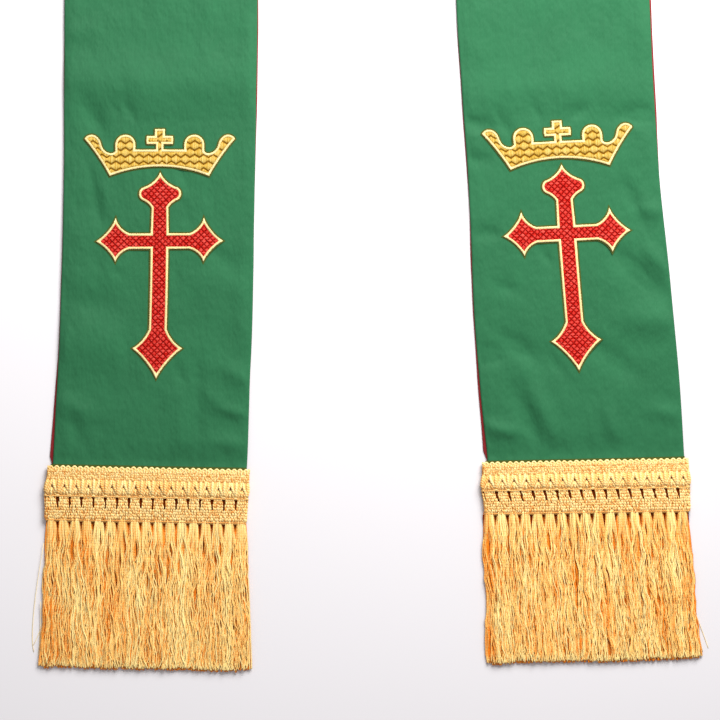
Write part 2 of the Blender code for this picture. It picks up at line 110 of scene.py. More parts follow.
class Fold(NamedTuple):
    """A soft ridge, or a trough where its height is below 0: middle, turn, length, breadth, height."""

    v: float
    u: float
    turn: float
    length: float
    breadth: float
    height: float


class Corner(NamedTuple):
    """A corner of a half outline, and the bow of the line from it to the next corner."""

    x: float
    y: float
    bow: float = 0.0
    steps: int = 1


class Zone(NamedTuple):
    """A stretch of cloth that stitching keeps flat."""

    low: float
    high: float
    reach: float


class Spot(NamedTuple):
    """Where an emblem lies on the cloth, and its turn to the left in degrees."""

    v: float
    u: float
    turn: float


class Stray(NamedTuple):
    """A loose thread beside the fringe: its root, its middle and its end, as u and distance down."""

    root: tuple
    middle: tuple
    end: tuple


class Half(NamedTuple):
    """One half of the stole."""

    name: str
    side: int
    slack: float
    foot: float
    stations: tuple
    peeks: tuple
    folds: tuple
    creases: tuple
    crown: Spot
    cross: Spot
    heading_height: float
    heading_width: float
    heading_u: float
    heading_swell: float
    post_slant: float
    fringe_u: float
    fringe_root: float
    fringe_tip: float
    fringe_lean: float
    fringe_lengths: tuple
    strays: tuple


class Shell(NamedTuple):
    """Part of a mesh: points, faces grouped by their number of corners, material, and point values."""

    points: np.ndarray
    faces: tuple
    material: int
    smooth: bool
    tone: np.ndarray
    run: np.ndarray
    side: np.ndarray


CROWN = (
    Corner(0.0, 0.0, -1.45, 12),
    Corner(30.4, -5.8, -0.7, 5),
    Corner(46.1, 17.0, 0.2, 2),
    Corner(45.2, 18.5, 1.2, 6),
    Corner(38.6, 18.8, 0.6, 4),
    Corner(35.5, 13.5, -1.35, 5),
    Corner(29.7, 8.4, -0.3, 3),
    Corner(27.3, 9.6),
    Corner(27.4, 13.5, 1.86, 6),
    Corner(21.0, 19.8, 1.86, 6),
    Corner(14.7, 13.5),
    Corner(14.9, 10.6),
    Corner(2.4, 10.7),
    Corner(2.4, 13.7),
    Corner(7.6, 13.7, 0.2, 3),
    Corner(8.2, 14.4, 0.25, 3),
    Corner(8.2, 18.4, 0.2, 3),
    Corner(7.6, 19.0),
    Corner(3.2, 19.0),
    Corner(3.2, 22.7, 0.15, 3),
    Corner(2.7, 23.3),
    Corner(0.0, 23.3),
)

CROSS = (
    Corner(0.0, -84.2, -1.3, 6),
    Corner(15.4, -65.5, -1.3, 6),
    Corner(5.6, -53.9),
    Corner(5.6, -4.9),
    Corner(18.4, -4.9, -1.4, 6),
    Corner(26.9, -12.8, -1.3, 6),
    Corner(39.0, 0.0, -1.4, 6),
    Corner(26.9, 14.4, -1.5, 6),
    Corner(18.4, 4.9),
    Corner(5.6, 4.9),
    Corner(5.3, 20.5, -0.6, 4),
    Corner(11.2, 25.2, 2.0, 8),
    Corner(11.0, 32.8, -1.6, 8),
    Corner(0.0, 42.2),
)

CROWN_ZONE = Zone(-7.0, 25.0, 48.0)
CROSS_ZONES = (Zone(-87.0, 44.0, 17.0), Zone(-15.0, 16.0, 41.0))

LEFT = Half(
    name="left",
    side=-1,
    slack=1.15,
    foot=0.0,
    stations=(
        Station(0.0, -127.0, 118.5, -0.020),
        Station(36.0, -124.9, 118.8, -0.019),
        Station(81.0, -122.8, 118.0, -0.013),
        Station(136.0, -120.6, 117.5, -0.005),
        Station(210.0, -119.1, 117.0, 0.0),
        Station(320.0, -117.9, 118.0, 0.0),
        Station(600.0, -112.0, 114.0, 0.0),
        Station(900.0, -104.0, 102.0, 0.0),
        Station(1080.0, -NECK_X, 95.0, 0.0),
    ),
    peeks=(
        Peek(34.3, 0.0, 0.0),
        Peek(37.3, 1.9, -0.3),
        Peek(70.0, 1.2, -0.3),
        Peek(100.0, 0.4, -0.3),
        Peek(190.0, 0.2, -0.3),
        Peek(250.0, 0.2, 0.6),
        Peek(300.0, 0.0, 0.6),
        Peek(400.0, -0.3, -0.3),
    ),
    folds=(
        Fold(288.0, 52.0, 88.0, 70.0, 9.0, 0.6),
        Fold(268.0, -2.0, 0.0, 135.0, 28.0, 2.2),
        Fold(160.0, 41.0, -45.0, 26.0, 12.0, -1.2),
        Fold(138.0, 51.5, 90.0, 46.0, 10.0, 0.7),
        Fold(134.0, -44.0, -10.0, 36.0, 14.0, -0.7),
        Fold(108.5, -33.0, -4.0, 54.0, 26.0, 1.8),
        Fold(69.0, -48.0, -22.0, 26.0, 13.0, 1.4),
        Fold(58.0, 18.0, -88.0, 46.0, 16.0, 1.0),
        Fold(430.0, 18.0, 62.0, 120.0, 22.0, 1.6),
        Fold(560.0, -16.0, -66.0, 130.0, 20.0, 1.44),
        Fold(720.0, 12.0, 74.0, 150.0, 18.0, 1.6),
        Fold(900.0, -14.0, 82.0, 140.0, 16.0, 1.44),
        Fold(1120.0, -22.0, 86.0, 120.0, 16.0, 1.76),
        Fold(1190.0, 16.0, 80.0, 90.0, 14.0, 1.44),
    ),
    creases=(
        Fold(300.0, -52.0, 8.0, 18.0, 10.0, 0.7),
        Fold(246.5, -40.0, -61.0, 34.0, 9.0, -1.0),
        Fold(252.5, -27.5, -62.0, 15.0, 4.5, -0.6),
        Fold(251.0, -18.5, -60.0, 19.0, 5.5, -0.8),
        Fold(210.0, 15.5, -68.0, 19.0, 5.0, -0.6),
        Fold(199.5, -39.5, -78.0, 42.0, 6.0, -1.0),
        Fold(199.0, -32.5, -80.0, 20.0, 4.0, 0.5),
        Fold(190.0, 16.5, -80.0, 24.0, 6.0, -0.6),
        Fold(152.0, -24.0, -30.0, 10.0, 5.0, -0.5),
        Fold(152.0, 12.0, -80.0, 12.0, 5.0, -0.5),
        Fold(91.5, 15.5, -65.0, 18.0, 6.0, -0.9),
        Fold(90.0, 52.0, -30.0, 24.0, 10.0, 1.3),
        Fold(80.0, 27.5, -86.0, 40.0, 8.0, -0.9),
        Fold(76.0, 37.0, -35.0, 20.0, 9.0, 0.8),
        Fold(68.0, 50.0, -15.0, 22.0, 7.0, 1.0),
        Fold(50.0, -44.0, -70.0, 24.0, 8.0, -0.9),
        Fold(48.0, 48.0, -10.0, 26.0, 10.0, 1.0),
        Fold(312.0, 30.0, 82.0, 70.0, 9.0, 0.66),
        Fold(350.0, -18.0, -70.0, 80.0, 9.0, 0.76),
        Fold(395.0, 30.0, 64.0, 60.0, 7.0, 0.76),
        Fold(470.0, -34.0, 80.0, 80.0, 8.0, 0.76),
        Fold(520.0, 22.0, -74.0, 70.0, 8.0, -0.76),
        Fold(640.0, 30.0, 70.0, 90.0, 8.0, 0.76),
        Fold(690.0, -30.0, -80.0, 80.0, 7.0, 0.76),
        Fold(800.0, -10.0, 66.0, 80.0, 8.0, -0.76),
        Fold(850.0, 26.0, 84.0, 70.0, 7.0, 0.76),
        Fold(980.0, 14.0, -72.0, 80.0, 8.0, 0.76),
        Fold(1040.0, -28.0, 76.0, 70.0, 7.0, 0.76),
        Fold(1100.0, 20.0, 60.0, 50.0, 6.0, 0.95),
        Fold(1150.0, 4.0, 95.0, 60.0, 6.0, -0.76),
        Fold(1215.0, -20.0, 70.0, 50.0, 6.0, 0.76),
    ),
    crown=Spot(217.1, 0.1, 0.0),
    cross=Spot(171.7, 0.9, 0.4),
    heading_height=33.6,
    heading_width=124.4,
    heading_u=-0.5,
    heading_swell=0.8,
    post_slant=0.3,
    fringe_u=0.0,
    fringe_root=121.5,
    fringe_tip=130.0,
    fringe_lean=-0.012,
    fringe_lengths=(88.4, 88.5, 88.2),
    strays=(
        Stray((-62.5, 14.0), (-68.5, 58.0), (-68.0, 81.0)),
        Stray((-63.0, 44.0), (-62.5, 60.0), (-68.5, 77.0)),
        Stray((-64.0, 50.0), (-64.5, 72.0), (-65.5, 84.0)),
    ),
)

RIGHT = Half(
    name="right",
    side=1,
    slack=1.5,
    foot=5.6,
    stations=(
        Station(0.0, 143.3, 120.5, 0.016),
        Station(32.0, 141.9, 120.5, 0.022),
        Station(75.0, 138.4, 122.0, 0.030),
        Station(130.0, 133.8, 121.5, 0.035),
        Station(200.0, 128.8, 117.0, 0.043),
        Station(250.0, 125.2, 117.3, 0.042),
        Station(314.0, 121.6, 118.0, 0.020),
        Station(450.0, 117.0, 117.0, 0.0),
        Station(680.0, 111.5, 111.0, 0.0),
        Station(900.0, 105.0, 102.0, 0.0),
        Station(1080.0 - 5.6, NECK_X, 95.0, 0.0),
    ),
    peeks=(
        Peek(34.3, 0.0, 0.0),
        Peek(37.3, 1.9, -0.3),
        Peek(80.0, 1.1, -0.3),
        Peek(115.0, 0.5, -0.3),
        Peek(200.0, 0.4, -0.3),
        Peek(240.0, 0.4, 1.0),
        Peek(310.0, 0.1, 1.2),
        Peek(400.0, -0.3, -0.3),
    ),
    folds=(
        Fold(295.0, 53.0, 88.0, 50.0, 9.0, 0.6),
        Fold(258.0, -1.0, 0.0, 120.0, 22.0, 0.8),
        Fold(241.0, 48.0, -3.0, 32.0, 12.0, -1.2),
        Fold(240.0, -51.0, -12.0, 24.0, 9.0, -1.2),
        Fold(153.0, 52.0, -50.0, 30.0, 11.0, 1.3),
        Fold(144.5, 41.0, -48.0, 46.0, 12.0, -1.25),
        Fold(116.0, 46.0, -8.0, 38.0, 18.0, 1.5),
        Fold(102.5, -35.5, -37.0, 27.0, 11.0, -1.25),
        Fold(98.0, -52.0, 0.0, 22.0, 14.0, -1.2),
        Fold(93.0, 22.0, -40.0, 36.0, 12.0, -1.0),
        Fold(60.5, -23.5, -71.0, 50.0, 13.0, 1.7),
        Fold(57.5, -33.0, -71.0, 48.0, 12.0, -1.1),
        Fold(440.0, -20.0, 116.0, 120.0, 22.0, 1.6),
        Fold(580.0, 14.0, 68.0, 130.0, 20.0, 1.44),
        Fold(735.0, -10.0, 104.0, 150.0, 18.0, 1.6),
        Fold(905.0, 16.0, 96.0, 140.0, 16.0, 1.44),
        Fold(1120.0, 22.0, 92.0, 120.0, 16.0, 1.76),
        Fold(1186.0, -14.0, 98.0, 90.0, 14.0, 1.44),
    ),
    creases=(
        Fold(245.0, -14.0, -66.0, 15.0, 5.0, -0.8),
        Fold(244.0, 11.0, 40.0, 13.0, 6.0, -0.7),
        Fold(241.0, -35.0, -66.0, 17.0, 5.5, -0.9),
        Fold(218.0, -52.0, -5.0, 15.0, 9.0, -0.8),
        Fold(190.0, 40.5, -70.0, 26.0, 7.0, -1.0),
        Fold(183.0, 51.0, -5.0, 20.0, 9.0, 0.9),
        Fold(173.0, -50.0, -5.0, 20.0, 9.0, -0.8),
        Fold(157.0, -14.5, -65.0, 13.0, 5.0, -0.8),
        Fold(138.5, -39.0, -20.0, 18.0, 8.0, -0.6),
        Fold(92.0, -14.0, -60.0, 20.0, 6.0, -0.8),
        Fold(60.0, 51.0, -15.0, 22.0, 10.0, 1.0),
        Fold(52.0, -50.0, -15.0, 24.0, 9.0, 1.3),
        Fold(51.0, 17.5, -82.0, 32.0, 9.0, 1.2),
        Fold(49.0, 4.5, -92.0, 30.0, 6.0, 0.6),
        Fold(345.0, 26.0, -66.0, 80.0, 9.0, 0.76),
        Fold(400.0, -30.0, 100.0, 60.0, 7.0, 0.76),
        Fold(480.0, 30.0, 76.0, 80.0, 8.0, 0.76),
        Fold(530.0, -24.0, 104.0, 70.0, 8.0, -0.76),
        Fold(650.0, -28.0, 80.0, 90.0, 8.0, 0.76),
        Fold(700.0, 28.0, 96.0, 80.0, 7.0, 0.76),
        Fold(810.0, 12.0, 112.0, 80.0, 8.0, -0.76),
        Fold(860.0, -24.0, 84.0, 70.0, 7.0, 0.76),
        Fold(985.0, -14.0, 102.0, 80.0, 8.0, 0.76),
        Fold(1045.0, 28.0, 84.0, 70.0, 7.0, 0.76),
        Fold(1102.0, -18.0, 110.0, 50.0, 6.0, 0.95),
        Fold(1150.0, 0.0, 86.0, 60.0, 6.0, -0.76),
        Fold(1212.0, 20.0, 100.0, 50.0, 6.0, 0.76),
    ),
    crown=Spot(216.7, -2.1, 0.3),
    cross=Spot(170.9, -0.7, 0.6),
    heading_height=32.5,
    heading_width=126.8,
    heading_u=-0.5,
    heading_swell=1.3,
    post_slant=1.2,
    fringe_u=-1.6,
    fringe_root=127.0,
    fringe_tip=132.2,
    fringe_lean=0.062,
    fringe_lengths=(89.6, 89.4, 88.2),
    strays=(
        Stray((62.0, 58.0), (66.5, 72.0), (70.0, 84.0)),
        Stray((62.5, 62.0), (64.5, 74.0), (66.5, 86.0)),
    ),
)

HALVES = (LEFT, RIGHT)


# Measures along the cloth.


def ease(share):
    """Rise smoothly from 0 to 1 as share goes from 0 to 1."""
    share = np.clip(share, 0.0, 1.0)
    return share * share * (3.0 - 2.0 * share)


def bracket(table, v):
    """Rows of the table round each v, and how far v is from the lower one to the higher one."""
    rows = np.array(table, float)
    v = np.atleast_1d(np.asarray(v, float))
    i = np.clip(np.searchsorted(rows[:, 0], v, side="right") - 1, 0, len(rows) - 2)
    low, high = rows[i], rows[i + 1]
    share = np.clip((v - low[:, 0]) / (high[:, 0] - low[:, 0]), 0.0, 1.0)[:, None]
    return rows, i, low, high, share


def between(table, v):
    """Values of the table at each v, on a smooth curve through its rows."""
    rows, i, low, high, f = bracket(table, np.ravel(v))
    before, after = rows[np.maximum(i - 1, 0)], rows[np.minimum(i + 2, len(rows) - 1)]
    span = high[:, :1] - low[:, :1]
    leave = (high - before) / (high[:, :1] - before[:, :1]) * span
    arrive = (after - low) / (after[:, :1] - low[:, :1]) * span
    bend = 3.0 * (high - low) - 2.0 * leave - arrive
    turn = 2.0 * (low - high) + leave + arrive
    values = low + f * leave + f * f * bend + f * f * f * turn
    return [values[:, k].reshape(np.shape(v)) for k in range(1, rows.shape[1])]


def along(table, v):
    """Values of the table at each v, on straight lines between its rows."""
    rows, _, low, high, f = bracket(table, v)
    values = low + f * (high - low)
    return [values[:, k] for k in range(1, rows.shape[1])]


def place(half, v, u):
    """Flat points of the cloth at heights v and distances u from its middle."""
    v, u = np.broadcast_arrays(np.asarray(v, float), np.asarray(u, float))
    x, _, rise = between(half.stations, v)
    run = u / np.hypot(1.0, rise)
    return np.stack((x + run, half.foot + v + rise * run), axis=-1)


def spaced(start, end, pitch):
    """Even values from start to end, about a pitch apart."""
    return np.linspace(start, end, max(1, round((end - start) / pitch)) + 1)


def frame_shift():
    """Shift from the cloth's own axes to the packed solids: their seam and their outer seam corner."""
    low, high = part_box("face_right")
    seam_top = neck_rows(RIGHT, 1, 1)[2][-1][1]
    return np.array((low.x / MM - SEAM_GAP / 2, high.y / MM - seam_top, 0.0))


def neck_rows(half, bend_steps, mitre_steps):
    """Heights, left ends and right ends of the rows round the neck's bend and on to the seam."""
    reach = half.stations[-1].width / 2
    pivot = np.array((half.side * (NECK_X - BEND_RADIUS), BEND_Y))
    angle = BEND_ANGLE * np.arange(1, bend_steps + 1) / bend_steps
    out = np.stack((half.side * np.cos(angle), np.sin(angle)), axis=-1)
    inner = pivot + out * (BEND_RADIUS - reach)
    outer = pivot + out * (BEND_RADIUS + reach)
    v = BEND_Y - half.foot + BEND_RADIUS * angle
    heading = np.array((-half.side * math.sin(BEND_ANGLE), math.cos(BEND_ANGLE)))
    seam_x = half.side * SEAM_GAP / 2
    inner_run = (seam_x - inner[-1][0]) / heading[0]
    outer_run = (seam_x - outer[-1][0]) / heading[0]
    share = np.arange(1, mitre_steps + 1)[:, None] / mitre_steps
    v = np.concatenate((v, v[-1] + share[:, 0] * (inner_run + outer_run) / 2))
    inner = np.concatenate((inner, inner[-1] + heading * inner_run * share))
    outer = np.concatenate((outer, outer[-1] + heading * outer_run * share))
    return (v, inner, outer) if half.side > 0 else (v, outer, inner)


def cloth_rows(half, low_pitch, high_pitch):
    """Heights, left ends and right ends of all the rows of a half, from its hem to the seam."""
    end = BEND_Y - half.foot
    low, high = spaced(HEM_V, LOW_ROWS_END, low_pitch), spaced(LOW_ROWS_END, end, high_pitch)
    heights = np.concatenate((low, high[1:]))
    reach = between(half.stations, heights)[1] / 2
    bend_steps = round(BEND_RADIUS * BEND_ANGLE / high_pitch)
    neck_v, neck_left, neck_right = neck_rows(half, bend_steps, max(3, bend_steps // 2))
    v = np.concatenate((heights, neck_v))
    left = np.concatenate((place(half, heights, -reach), neck_left))
    right = np.concatenate((place(half, heights, reach), neck_right))
    return v, left, right


def zones(half):
    """Stretches of a half that its emblems keep flat, as heights on the cloth."""
    crown = Zone(half.crown.v + CROWN_ZONE.low, half.crown.v + CROWN_ZONE.high, CROWN_ZONE.reach)
    crosses = [Zone(half.cross.v + zone.low, half.cross.v + zone.high, zone.reach) for zone in CROSS_ZONES]
    return [crown, *crosses]


def calm(half, v, u):
    """1 on free cloth and 0 under the stitching."""
    free = 1.0
    for zone in zones(half):
        below = ease((v - zone.low) / CALM_MARGIN + 1)
        above = ease((zone.high - v) / CALM_MARGIN + 1)
        beside = ease((zone.reach - abs(u)) / CALM_MARGIN + 1)
        free = free * (1 - below * above * beside)
    return free


def fold_heights(folds, v, u):
    """Summed height of soft ridges and troughs at points of the cloth."""
    total = np.zeros(np.broadcast(v, u).shape)
    for fold in folds:
        turn = math.radians(fold.turn)
        rise, run = v - fold.v, u - fold.u
        lengthwise = (run * math.cos(turn) + rise * math.sin(turn)) / (fold.length / 2)
        crosswise = (rise * math.cos(turn) - run * math.sin(turn)) / (fold.breadth / 2)
        total += fold.height * np.exp(-lengthwise * lengthwise - crosswise * crosswise)
    return total


def ripple(v, u, seed, waves, longest, height):
    """Low uneven swell of laid cloth, from sine waves of a few lengths and directions."""
    chance = np.random.default_rng(seed)
    total = np.zeros(np.broadcast(v, u).shape)
    for _ in range(waves):
        length = longest * chance.uniform(0.25, 1.0)
        turn = chance.uniform(0.0, math.tau)
        phase = chance.uniform(0.0, math.tau)
        ahead = v * math.sin(turn) + u * math.cos(turn)
        total += length / longest * np.sin(math.tau * ahead / length + phase)
    return height * total / math.sqrt(waves)


# Meshes.


def shell(points, faces, material, smooth, tone, run=0.0, side=0.0):
    """Shell with its values spread over its points."""
    points = np.asarray(points, float).reshape(-1, 3)
    values = [np.broadcast_to(np.asarray(value, float), (len(points),)) for value in (tone, run, side)]
    return Shell(points, tuple(faces), material, smooth, *values)


def ring_walls(index):
    """Faces of four corners between each ring of points and the next."""
    near, far = index[..., :-1, :], index[..., 1:, :]
    walls = np.stack((near, far, np.roll(far, -1, axis=-1), np.roll(near, -1, axis=-1)), axis=-1)
    return walls.reshape(-1, 4)


def tubes(paths, breadth, thickness, sides, material, tone):
    """Closed tubes along paths, by their half breadth and half thickness at each point."""
    paths = np.asarray(paths, float)
    count, steps, _ = paths.shape
    breadth = np.broadcast_to(breadth, (count, steps))[..., None, None]
    thickness = np.broadcast_to(thickness, (count, steps))[..., None, None]
    forward = np.gradient(paths, axis=1)
    forward /= np.linalg.norm(forward, axis=-1, keepdims=True)
    across = np.cross(forward, UP)
    across /= np.maximum(np.linalg.norm(across, axis=-1, keepdims=True), 1e-6)
    lift = np.cross(across, forward)
    angle = math.tau * (np.arange(sides) + 0.5) / sides - math.pi / 2
    cos, sin = np.cos(angle)[:, None], np.sin(angle)[:, None]
    rings = paths[:, :, None] + breadth * cos * across[:, :, None] + thickness * sin * lift[:, :, None]
    index = np.arange(count * steps * sides).reshape(count, steps, sides)
    caps = np.concatenate((index[:, 0], index[:, -1, ::-1]))
    lengths = np.linalg.norm(np.diff(paths, axis=1), axis=-1)
    run = np.concatenate((np.zeros((count, 1)), np.cumsum(lengths, axis=1)), axis=1)
    run = np.repeat(run[..., None], sides, axis=2)
    side = np.broadcast_to(np.cos(angle), run.shape)
    tone = np.asarray(tone, float)
    tone = np.broadcast_to(tone.reshape(*tone.shape, *[1] * (3 - tone.ndim)), run.shape)
    faces = (ring_walls(index), caps.reshape(-1, sides))
    return shell(rings, faces, material, True, tone.ravel(), run.ravel(), side.ravel())


def ringed(rings, material=0, smooth=True, tone=0.5):
    """Closed solid through rings of points, from the first to the last."""
    rings = np.asarray(rings, float)
    steps, around, _ = rings.shape
    index = np.arange(steps * around).reshape(steps, around)
    faces = (ring_walls(index), index[:1], index[-1:, ::-1])
    return shell(rings, faces, material, smooth, tone)


def plate(outline_points, low, high, material):
    """Flat solid of an outline, between two heights."""
    turned = outline_points[::-1]
    rings = [np.column_stack((turned, np.full(len(turned), z))) for z in (low, high)]
    return ringed(rings, material, False)


def build(name, shells, materials):
    """One object from shells, with its materials and its point values."""
    starts = np.cumsum([0, *(len(part.points) for part in shells)])
    groups = [
        (group + start, part) for part, start in zip(shells, starts) for group in part.faces if len(group)
    ]
    sizes = np.concatenate([np.full(len(group), group.shape[1]) for group, _ in groups])
    mesh = bpy.data.meshes.new(name)
    points = np.concatenate([part.points for part in shells]) + SHIFT
    mesh.vertices.add(len(points))
    mesh.vertices.foreach_set("co", (points * MM).astype(np.float32).ravel())
    corners = np.concatenate([group.ravel() for group, _ in groups]).astype(np.int32)
    mesh.loops.add(len(corners))
    mesh.loops.foreach_set("vertex_index", corners)
    mesh.polygons.add(len(sizes))
    mesh.polygons.foreach_set("loop_start", (np.cumsum(sizes) - sizes).astype(np.int32))
    slots = np.concatenate([np.full(len(group), part.material) for group, part in groups])
    mesh.polygons.foreach_set("material_index", slots.astype(np.int32))
    smooth = np.concatenate([np.full(len(group), part.smooth) for group, part in groups])
    mesh.polygons.foreach_set("use_smooth", smooth)
    for value in ("tone", "run", "side"):
        layer = mesh.attributes.new(value, "FLOAT", "POINT")
        data = np.concatenate([getattr(part, value) for part in shells])
        layer.data.foreach_set("value", data.astype(np.float32))
    mesh.update(calc_edges=True)
    if mesh.validate():
        raise RuntimeError(f"{name}: the mesh needed repair")
    for material in materials:
        mesh.materials.append(material)
    item = bpy.data.objects.new(name, mesh)
    bpy.context.scene.collection.objects.link(item)
    return item


def dress(item, slot, *nodes):
    """Make a piece ride on the stole and stand for its nodes; its slot is not used."""
    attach(item, BODY)
    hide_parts(*nodes)
    return item


SHIFT = frame_shift()


# Node groups and materials.


class Graph:
    """Short ways to add and link shader nodes."""

    def __init__(self, tree):
        self.tree = tree

    def node(self, kind, **settings):
        """Add a node with its settings."""
        item = self.tree.nodes.new(kind)
        for key, value in settings.items():
            setattr(item, key, value)
        return item

    def feed(self, socket, value):
        """Link a socket to an input, or set the input's value."""
        if isinstance(value, bpy.types.NodeSocket):
            self.tree.links.new(value, socket)
        else:
            socket.default_value = value

    def result(self, kind, values, **settings):
        """First output of a node whose inputs are fed in order."""
        item = self.node(kind, **settings)
        for socket, value in zip(item.inputs, values):
            self.feed(socket, value)
        return item.outputs[0]

    def math(self, operation, *values):
        """Result of a Math node."""
        return self.result("ShaderNodeMath", values, operation=operation)

    def times(self, first, second):
        """Product of two values."""
        return self.math("MULTIPLY", first, second)

    def plus(self, first, second):
        """Sum of two values."""
        return self.math("ADD", first, second)

    def vector(self, operation, *values):
        """Result of a Vector Math node."""
        return self.result("ShaderNodeVectorMath", values, operation=operation)

    def combine(self, *values):
        """Vector from three values."""
        return self.result("ShaderNodeCombineXYZ", values)

    def spread(self, value, low, high, to_low=0.0, to_high=1.0):
        """Value moved from one range to another, and held there."""
        return self.result("ShaderNodeMapRange", (value, low, high, to_low, to_high), clamp=True)

    def split(self, vector):
        """Node that parts a vector into X, Y and Z."""
        item = self.node("ShaderNodeSeparateXYZ")
        self.feed(item.inputs[0], vector)
        return item

    def value(self, name):
        """Value that the mesh carries at its points."""
        return self.node("ShaderNodeAttribute", attribute_name=name).outputs["Fac"]

    def noise(self, vector, scale, detail, roughness, stretch=None):
        """Noise from 0 to 1 at a vector, which may be stretched first."""
        if stretch:
            vector = self.vector("MULTIPLY", vector, stretch)
        item = self.node("ShaderNodeTexNoise", noise_dimensions="3D")
        self.feed(item.inputs["Vector"], vector)
        self.feed(item.inputs["Scale"], scale)
        self.feed(item.inputs["Detail"], detail)
        self.feed(item.inputs["Roughness"], roughness)
        return item.outputs["Fac"]

    def ridges(self, phase, turn):
        """Rounded ridges, one for each half turn of a sine."""
        return self.math("ABSOLUTE", self.math("SINE", self.times(phase, turn)))

    def swing(self, value, size):
        """A value from 0 to 1, as one that swings about 0."""
        return self.times(self.math("SUBTRACT", value, 0.5), size)

    def mix(self, share, first, second):
        """Colour between two colours."""
        item = self.node("ShaderNodeMix", data_type="RGBA")
        self.feed(item.inputs["Factor"], share)
        self.feed(item.inputs[6], first)
        self.feed(item.inputs[7], second)
        return item.outputs[2]

    def bump(self, height, depth, normal=None):
        """Normal of a relief of some depth, on top of another normal where there is one."""
        item = self.node("ShaderNodeBump")
        self.feed(item.inputs["Strength"], 1.0)
        self.feed(item.inputs["Distance"], depth)
        self.feed(item.inputs["Height"], height)
        if normal is not None:
            self.feed(item.inputs["Normal"], normal)
        return item.outputs["Normal"]


def rgba(colour):
    """Colour with full alpha."""
    return (*tuple(colour)[:3], 1.0)


def new_group(name, inputs, outputs):
    """Empty shader node group with named sockets; returns its graph, its input node and its output node."""
    tree = bpy.data.node_groups.new(name, "ShaderNodeTree")
    for label, kind, default in inputs:
        socket = tree.interface.new_socket(label, in_out="INPUT", socket_type=kind)
        if default is not None:
            socket.default_value = default
    for label, kind in outputs:
        tree.interface.new_socket(label, in_out="OUTPUT", socket_type=kind)
    graph = Graph(tree)
    return graph, graph.node("NodeGroupInput"), graph.node("NodeGroupOutput")


FLOAT, COLOUR, VECTOR = "NodeSocketFloat", "NodeSocketColor", "NodeSocketVector"


def woven_cloth_group():
    """Woven cloth: thread relief, slubs along the warp, and slow mottling of the dye."""
    graph, given, result = new_group(
        "woven_cloth",
        (
            ("Position", VECTOR, None),
            ("Warp Pitch", FLOAT, 0.0004),
            ("Weft Pitch", FLOAT, 0.0004),
            ("Colour", COLOUR, None),
            ("Slub", FLOAT, 0.1),
            ("Mottle", FLOAT, 0.1),
        ),
        (("Colour", COLOUR), ("Weave", FLOAT), ("Crumple", FLOAT), ("Wear", FLOAT)),
    )
    position = given.outputs["Position"]
    axes = graph.split(position)
    column = graph.math("DIVIDE", axes.outputs["X"], given.outputs["Warp Pitch"])
    line = graph.math("DIVIDE", axes.outputs["Y"], given.outputs["Weft Pitch"])
    warp = graph.ridges(column, math.pi)
    weft = graph.ridges(graph.plus(line, graph.times(column, 0.4)), math.pi / 2)
    weave = graph.times(warp, graph.plus(graph.times(weft, 0.6), 0.4))
    slub = graph.noise(position, 900.0, 3.0, 0.65, (1.0, 0.035, 1.0))
    cross_slub = graph.noise(position, 700.0, 2.0, 0.6, (0.06, 1.0, 1.0))
    streak = graph.plus(graph.times(slub, 0.7), graph.times(cross_slub, 0.3))
    cloud = graph.noise(position, 34.0, 3.0, 0.55)
    crumple = graph.noise(position, 75.0, 3.0, 0.62, (1.0, 0.55, 1.0))
    uneven = graph.swing(streak, given.outputs["Slub"])
    mottled = graph.swing(cloud, given.outputs["Mottle"])
    tint = graph.vector("SCALE", given.outputs["Colour"])
    graph.feed(tint.node.inputs["Scale"], graph.plus(graph.plus(uneven, mottled), 1.0))
    graph.feed(result.inputs["Colour"], tint)
    graph.feed(result.inputs["Weave"], weave)
    graph.feed(result.inputs["Crumple"], crumple)
    graph.feed(result.inputs["Wear"], cloud)
    return graph.tree


def dyed_thread_group():
    """Dyed thread: tone from strand to strand and along a strand, plied twist and fine filaments."""
    graph, given, result = new_group(
        "dyed_thread",
        (
            ("Deep", COLOUR, None),
            ("Middle", COLOUR, None),
            ("Bright", COLOUR, None),
            ("Tone", FLOAT, 0.5),
            ("Run", FLOAT, 0.0),
            ("Side", FLOAT, 0.0),
            ("Twist Pitch", FLOAT, 1.0),
            ("Twist", FLOAT, 0.3),
            ("Variation", FLOAT, 0.3),
        ),
        (("Colour", COLOUR), ("Height", FLOAT), ("Gloss", FLOAT)),
    )
    run, side, tone = given.outputs["Run"], given.outputs["Side"], given.outputs["Tone"]
    twist, variation = given.outputs["Twist"], given.outputs["Variation"]
    turns = graph.math("DIVIDE", run, given.outputs["Twist Pitch"])
    slanted = graph.plus(turns, graph.times(side, 0.35))
    wave = graph.math("SINE", graph.times(slanted, math.tau))
    ply = graph.math("MULTIPLY_ADD", wave, 0.5, 0.5)
    strand_seed = graph.times(tone, 91.7)
    fibre_at = graph.combine(graph.times(side, 3.0), graph.times(run, 0.25), strand_seed)
    fibre = graph.noise(fibre_at, 1.6, 2.0, 0.6)
    patch_at = graph.combine(strand_seed, graph.times(run, 0.09), 0.0)
    patch = graph.noise(patch_at, 1.0, 2.0, 0.55)
    slow = graph.plus(tone, graph.swing(patch, variation))
    fine = graph.plus(graph.swing(fibre, variation), graph.swing(ply, twist))
    level = graph.plus(slow, fine)
    # Deep and Bright are shaded and lit copies of the Middle dye, so the tone paints shade and highlight.
    lower = graph.mix(graph.spread(level, 0.0, 0.5), given.outputs["Deep"], given.outputs["Middle"])
    colour = graph.mix(graph.spread(level, 0.5, 1.0), lower, given.outputs["Bright"])
    height = graph.plus(graph.times(ply, twist), graph.times(fibre, 0.5))
    graph.feed(result.inputs["Colour"], colour)
    graph.feed(result.inputs["Height"], height)
    graph.feed(result.inputs["Gloss"], fibre)
    return graph.tree


